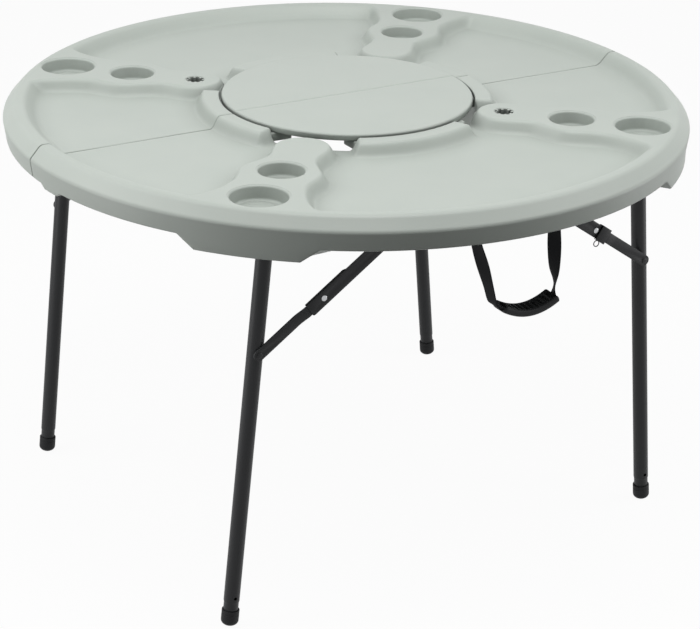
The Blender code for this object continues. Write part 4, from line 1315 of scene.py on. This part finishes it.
def handle_grip():
    """The moulded grip: a curved bar with a rim along both edges and ribs across its upper face."""
    table = sizes()
    half, thick = GRIP_WIDTH / 2, GRIP_THICKNESS / 2
    rings = []
    rows, steps = 160, 28
    for index in range(rows + 1):
        across = -1 + 2 * index / rows
        point = grip_line(across)
        side = across_line(grip_line(across + GRIP_TILT_STEP) - grip_line(across - GRIP_TILT_STEP))
        along = across * GRIP_LENGTH / 2
        end = (1 - abs(across)) * GRIP_LENGTH / 2
        close = 1 - GRIP_CLOSE * max(0.0, 1 - end / GRIP_NARROW) ** 2
        rib = 0.5 - 0.5 * cos(tau * along / table.rib_pitch)
        cut = table.rib_depth * rib**RIB_POWER if end > GRIP_RIBS_FROM else 0.0
        ring = []
        for angle in [tau * step / steps for step in range(steps)]:
            c, s = cos(angle), sin(angle)
            y = half * close * copysign(abs(c) ** GRIP_SQUARE[0], c)
            out = thick * close * copysign(abs(s) ** GRIP_SQUARE[1], s)
            if abs(y) < half * GRIP_FACE and out > 0:
                out -= cut if end > GRIP_PAD else GRIP_PAD_SINK * thick
            ring.append((point.x + side.x * out, HANDLE_Y + y, point.y + side.y * out))
        rings.append(ring)
    return lofted(rings)


def handle_anchor():
    """A bracket under the panel with a headed stud along Y for one end of the webbing."""
    reach, sheet, radius = ANCHOR
    strap = WEBBING_THICKNESS / 2 + GAP
    low, high = -strap - sheet, -strap
    top = sizes().table_height - PANEL_DEPTH - HANDLE_PIVOT_Z - GAP
    piece = block((-radius, radius), (high - reach, high), (top - sheet, top))
    combined(piece, prism(ear(radius, top), low, high), "UNION")
    return combined(rounded(piece, SHEET_ROUND), pin((low + high) / 2, strap), "UNION")


class TABLE_OT_handle(bpy.types.Operator):
    """Makes the carry handle: webbing, ribbed grip and the two anchors"""

    bl_idname = "table.handle"
    bl_label = "Carry handle"

    def execute(self, context):
        finished(webbing_strap(), "handle_strap", "webbing", HANDLE_SMOOTH)
        finished(handle_grip(), "handle_grip", "rubber", HANDLE_SMOOTH)
        for name, side in (("left", -1), ("right", 1)):
            place = moved(side * HANDLE_HALF_SPAN, HANDLE_Y, HANDLE_PIVOT_Z)
            finished(put(handle_anchor(), place, rotated(pi / 2 * -side)), "handle_anchor_" + name, "powder")
        return {"FINISHED"}


def add_camera():
    """A camera at the photograph's viewing angle."""
    lens = bpy.data.cameras.new("photo_camera")
    lens.sensor_width = SENSOR
    lens.lens = SENSOR * CAMERA_FOCAL
    camera = added("photo_camera", lens)
    turns = rotated(CAMERA_HEADING) @ rotated(pi / 2 - CAMERA_TILT, "X") @ rotated(CAMERA_ROLL)
    camera.matrix_world = moved(*CAMERA_PLACE) @ turns
    bpy.context.scene.camera = camera


def add_lamp(name, place, aim, size, power):
    """A soft square lamp that points at a spot."""
    lamp = bpy.data.lights.new(name, "AREA")
    lamp.size = size
    lamp.energy = power
    holder = added(name, lamp)
    holder.location = place
    holder.rotation_euler = (Vector(aim) - Vector(place)).to_track_quat("-Z", "Y").to_euler()


def seen_directly(tree):
    """One where a surface is seen, also in a mirror or through a pane, and zero where it only gives light."""
    path = node(tree, "LightPath", {})
    total = path.outputs["Is Camera Ray"]
    for ray in ("Is Glossy Ray", "Is Transmission Ray"):
        total = reckoned(tree, "MAXIMUM", total, path.outputs[ray])
    return total


def add_surroundings():
    """A white background that gives the table only a little light."""
    world = bpy.data.worlds.new("studio")
    world.use_nodes = True
    tree = world.node_tree
    tree.nodes.clear()
    white = node(tree, "Background", {"Color": WHITE, "Strength": 1.0})
    fill = node(tree, "Background", {"Color": WHITE, "Strength": WORLD_FILL})
    both = layered(tree, seen_directly(tree), fill, white)
    node(tree, "OutputWorld", {"Surface": both.outputs[0]})
    bpy.context.scene.world = world


def studio_floor():
    """Pale seamless paper: even white to the eye, with a faint shadow under the table."""
    made, tree, shader, place = started("pale_studio_paper")
    fill_in(tree, shader, {
        "Base Color": rgba(colours().floor),
        "Roughness": 0.9,
        "Normal": bumped(tree, noise(tree, place, 60.0), 0.05, 0.0005),
    })
    glow = node(tree, "Emission", {"Color": WHITE, "Strength": 1.0})
    paper = layered(tree, PAPER_GLOW, shader, glow)
    bounce = node(tree, "BsdfDiffuse", {"Color": rgba(colours().floor_bounce)})
    both = layered(tree, seen_directly(tree), bounce, paper)
    fill_in(tree, tree.nodes["Material Output"], {"Surface": both.outputs[0]})
    return made


class TABLE_OT_stage(bpy.types.Operator):
    """Sets up the floor, the soft light, the white background and the camera"""

    bl_idname = "table.stage"
    bl_label = "Stage and camera"

    def execute(self, context):
        floor = flat_square(FLOOR_SIZE, (0, 0, FLOOR_HEIGHT))
        floor.name = "studio_floor"
        floor.data.materials.append(studio_floor())
        add_surroundings()
        for name, settings in LAMPS.items():
            add_lamp(name, *settings)
        add_camera()
        context.scene.view_settings.view_transform = "Standard"
        return {"FINISHED"}


OPERATORS = (
    TABLE_OT_stage,
    TABLE_OT_top,
    TABLE_OT_lid,
    TABLE_OT_legs,
    TABLE_OT_brackets,
    TABLE_OT_braces,
    TABLE_OT_hinges,
    TABLE_OT_handle,
)


class TABLE_PT_panel(bpy.types.Panel):
    """Lists the pieces of the table with their sizes and colours"""

    bl_idname = "TABLE_PT_panel"
    bl_label = "Round folding table"
    bl_space_type = "VIEW_3D"
    bl_region_type = "UI"
    bl_category = "Table"

    def draw(self, context):
        column = self.layout.column()
        for operator in OPERATORS:
            column.operator(operator.bl_idname)
        for group in (context.scene.table_sizes, context.scene.table_colours):
            for key in group.__annotations__:
                column.prop(group, key)


CLASSES = (TableSizes, TableColours, *OPERATORS, TABLE_PT_panel)


def register():
    """Adds the classes and the scene's sizes and colours."""
    for made in CLASSES:
        bpy.utils.register_class(made)
    bpy.types.Scene.table_sizes = bpy.props.PointerProperty(type=TableSizes)
    bpy.types.Scene.table_colours = bpy.props.PointerProperty(type=TableColours)


def unregister():
    """Takes the classes and the properties away again."""
    del bpy.types.Scene.table_colours
    del bpy.types.Scene.table_sizes
    for made in reversed(CLASSES):
        bpy.utils.unregister_class(made)


def main():
    """Makes the stage and every piece."""
    register()
    for operator in OPERATORS:
        group, name = operator.bl_idname.split(".")
        getattr(getattr(bpy.ops, group), name)()


if __name__ == "__main__":
    main()
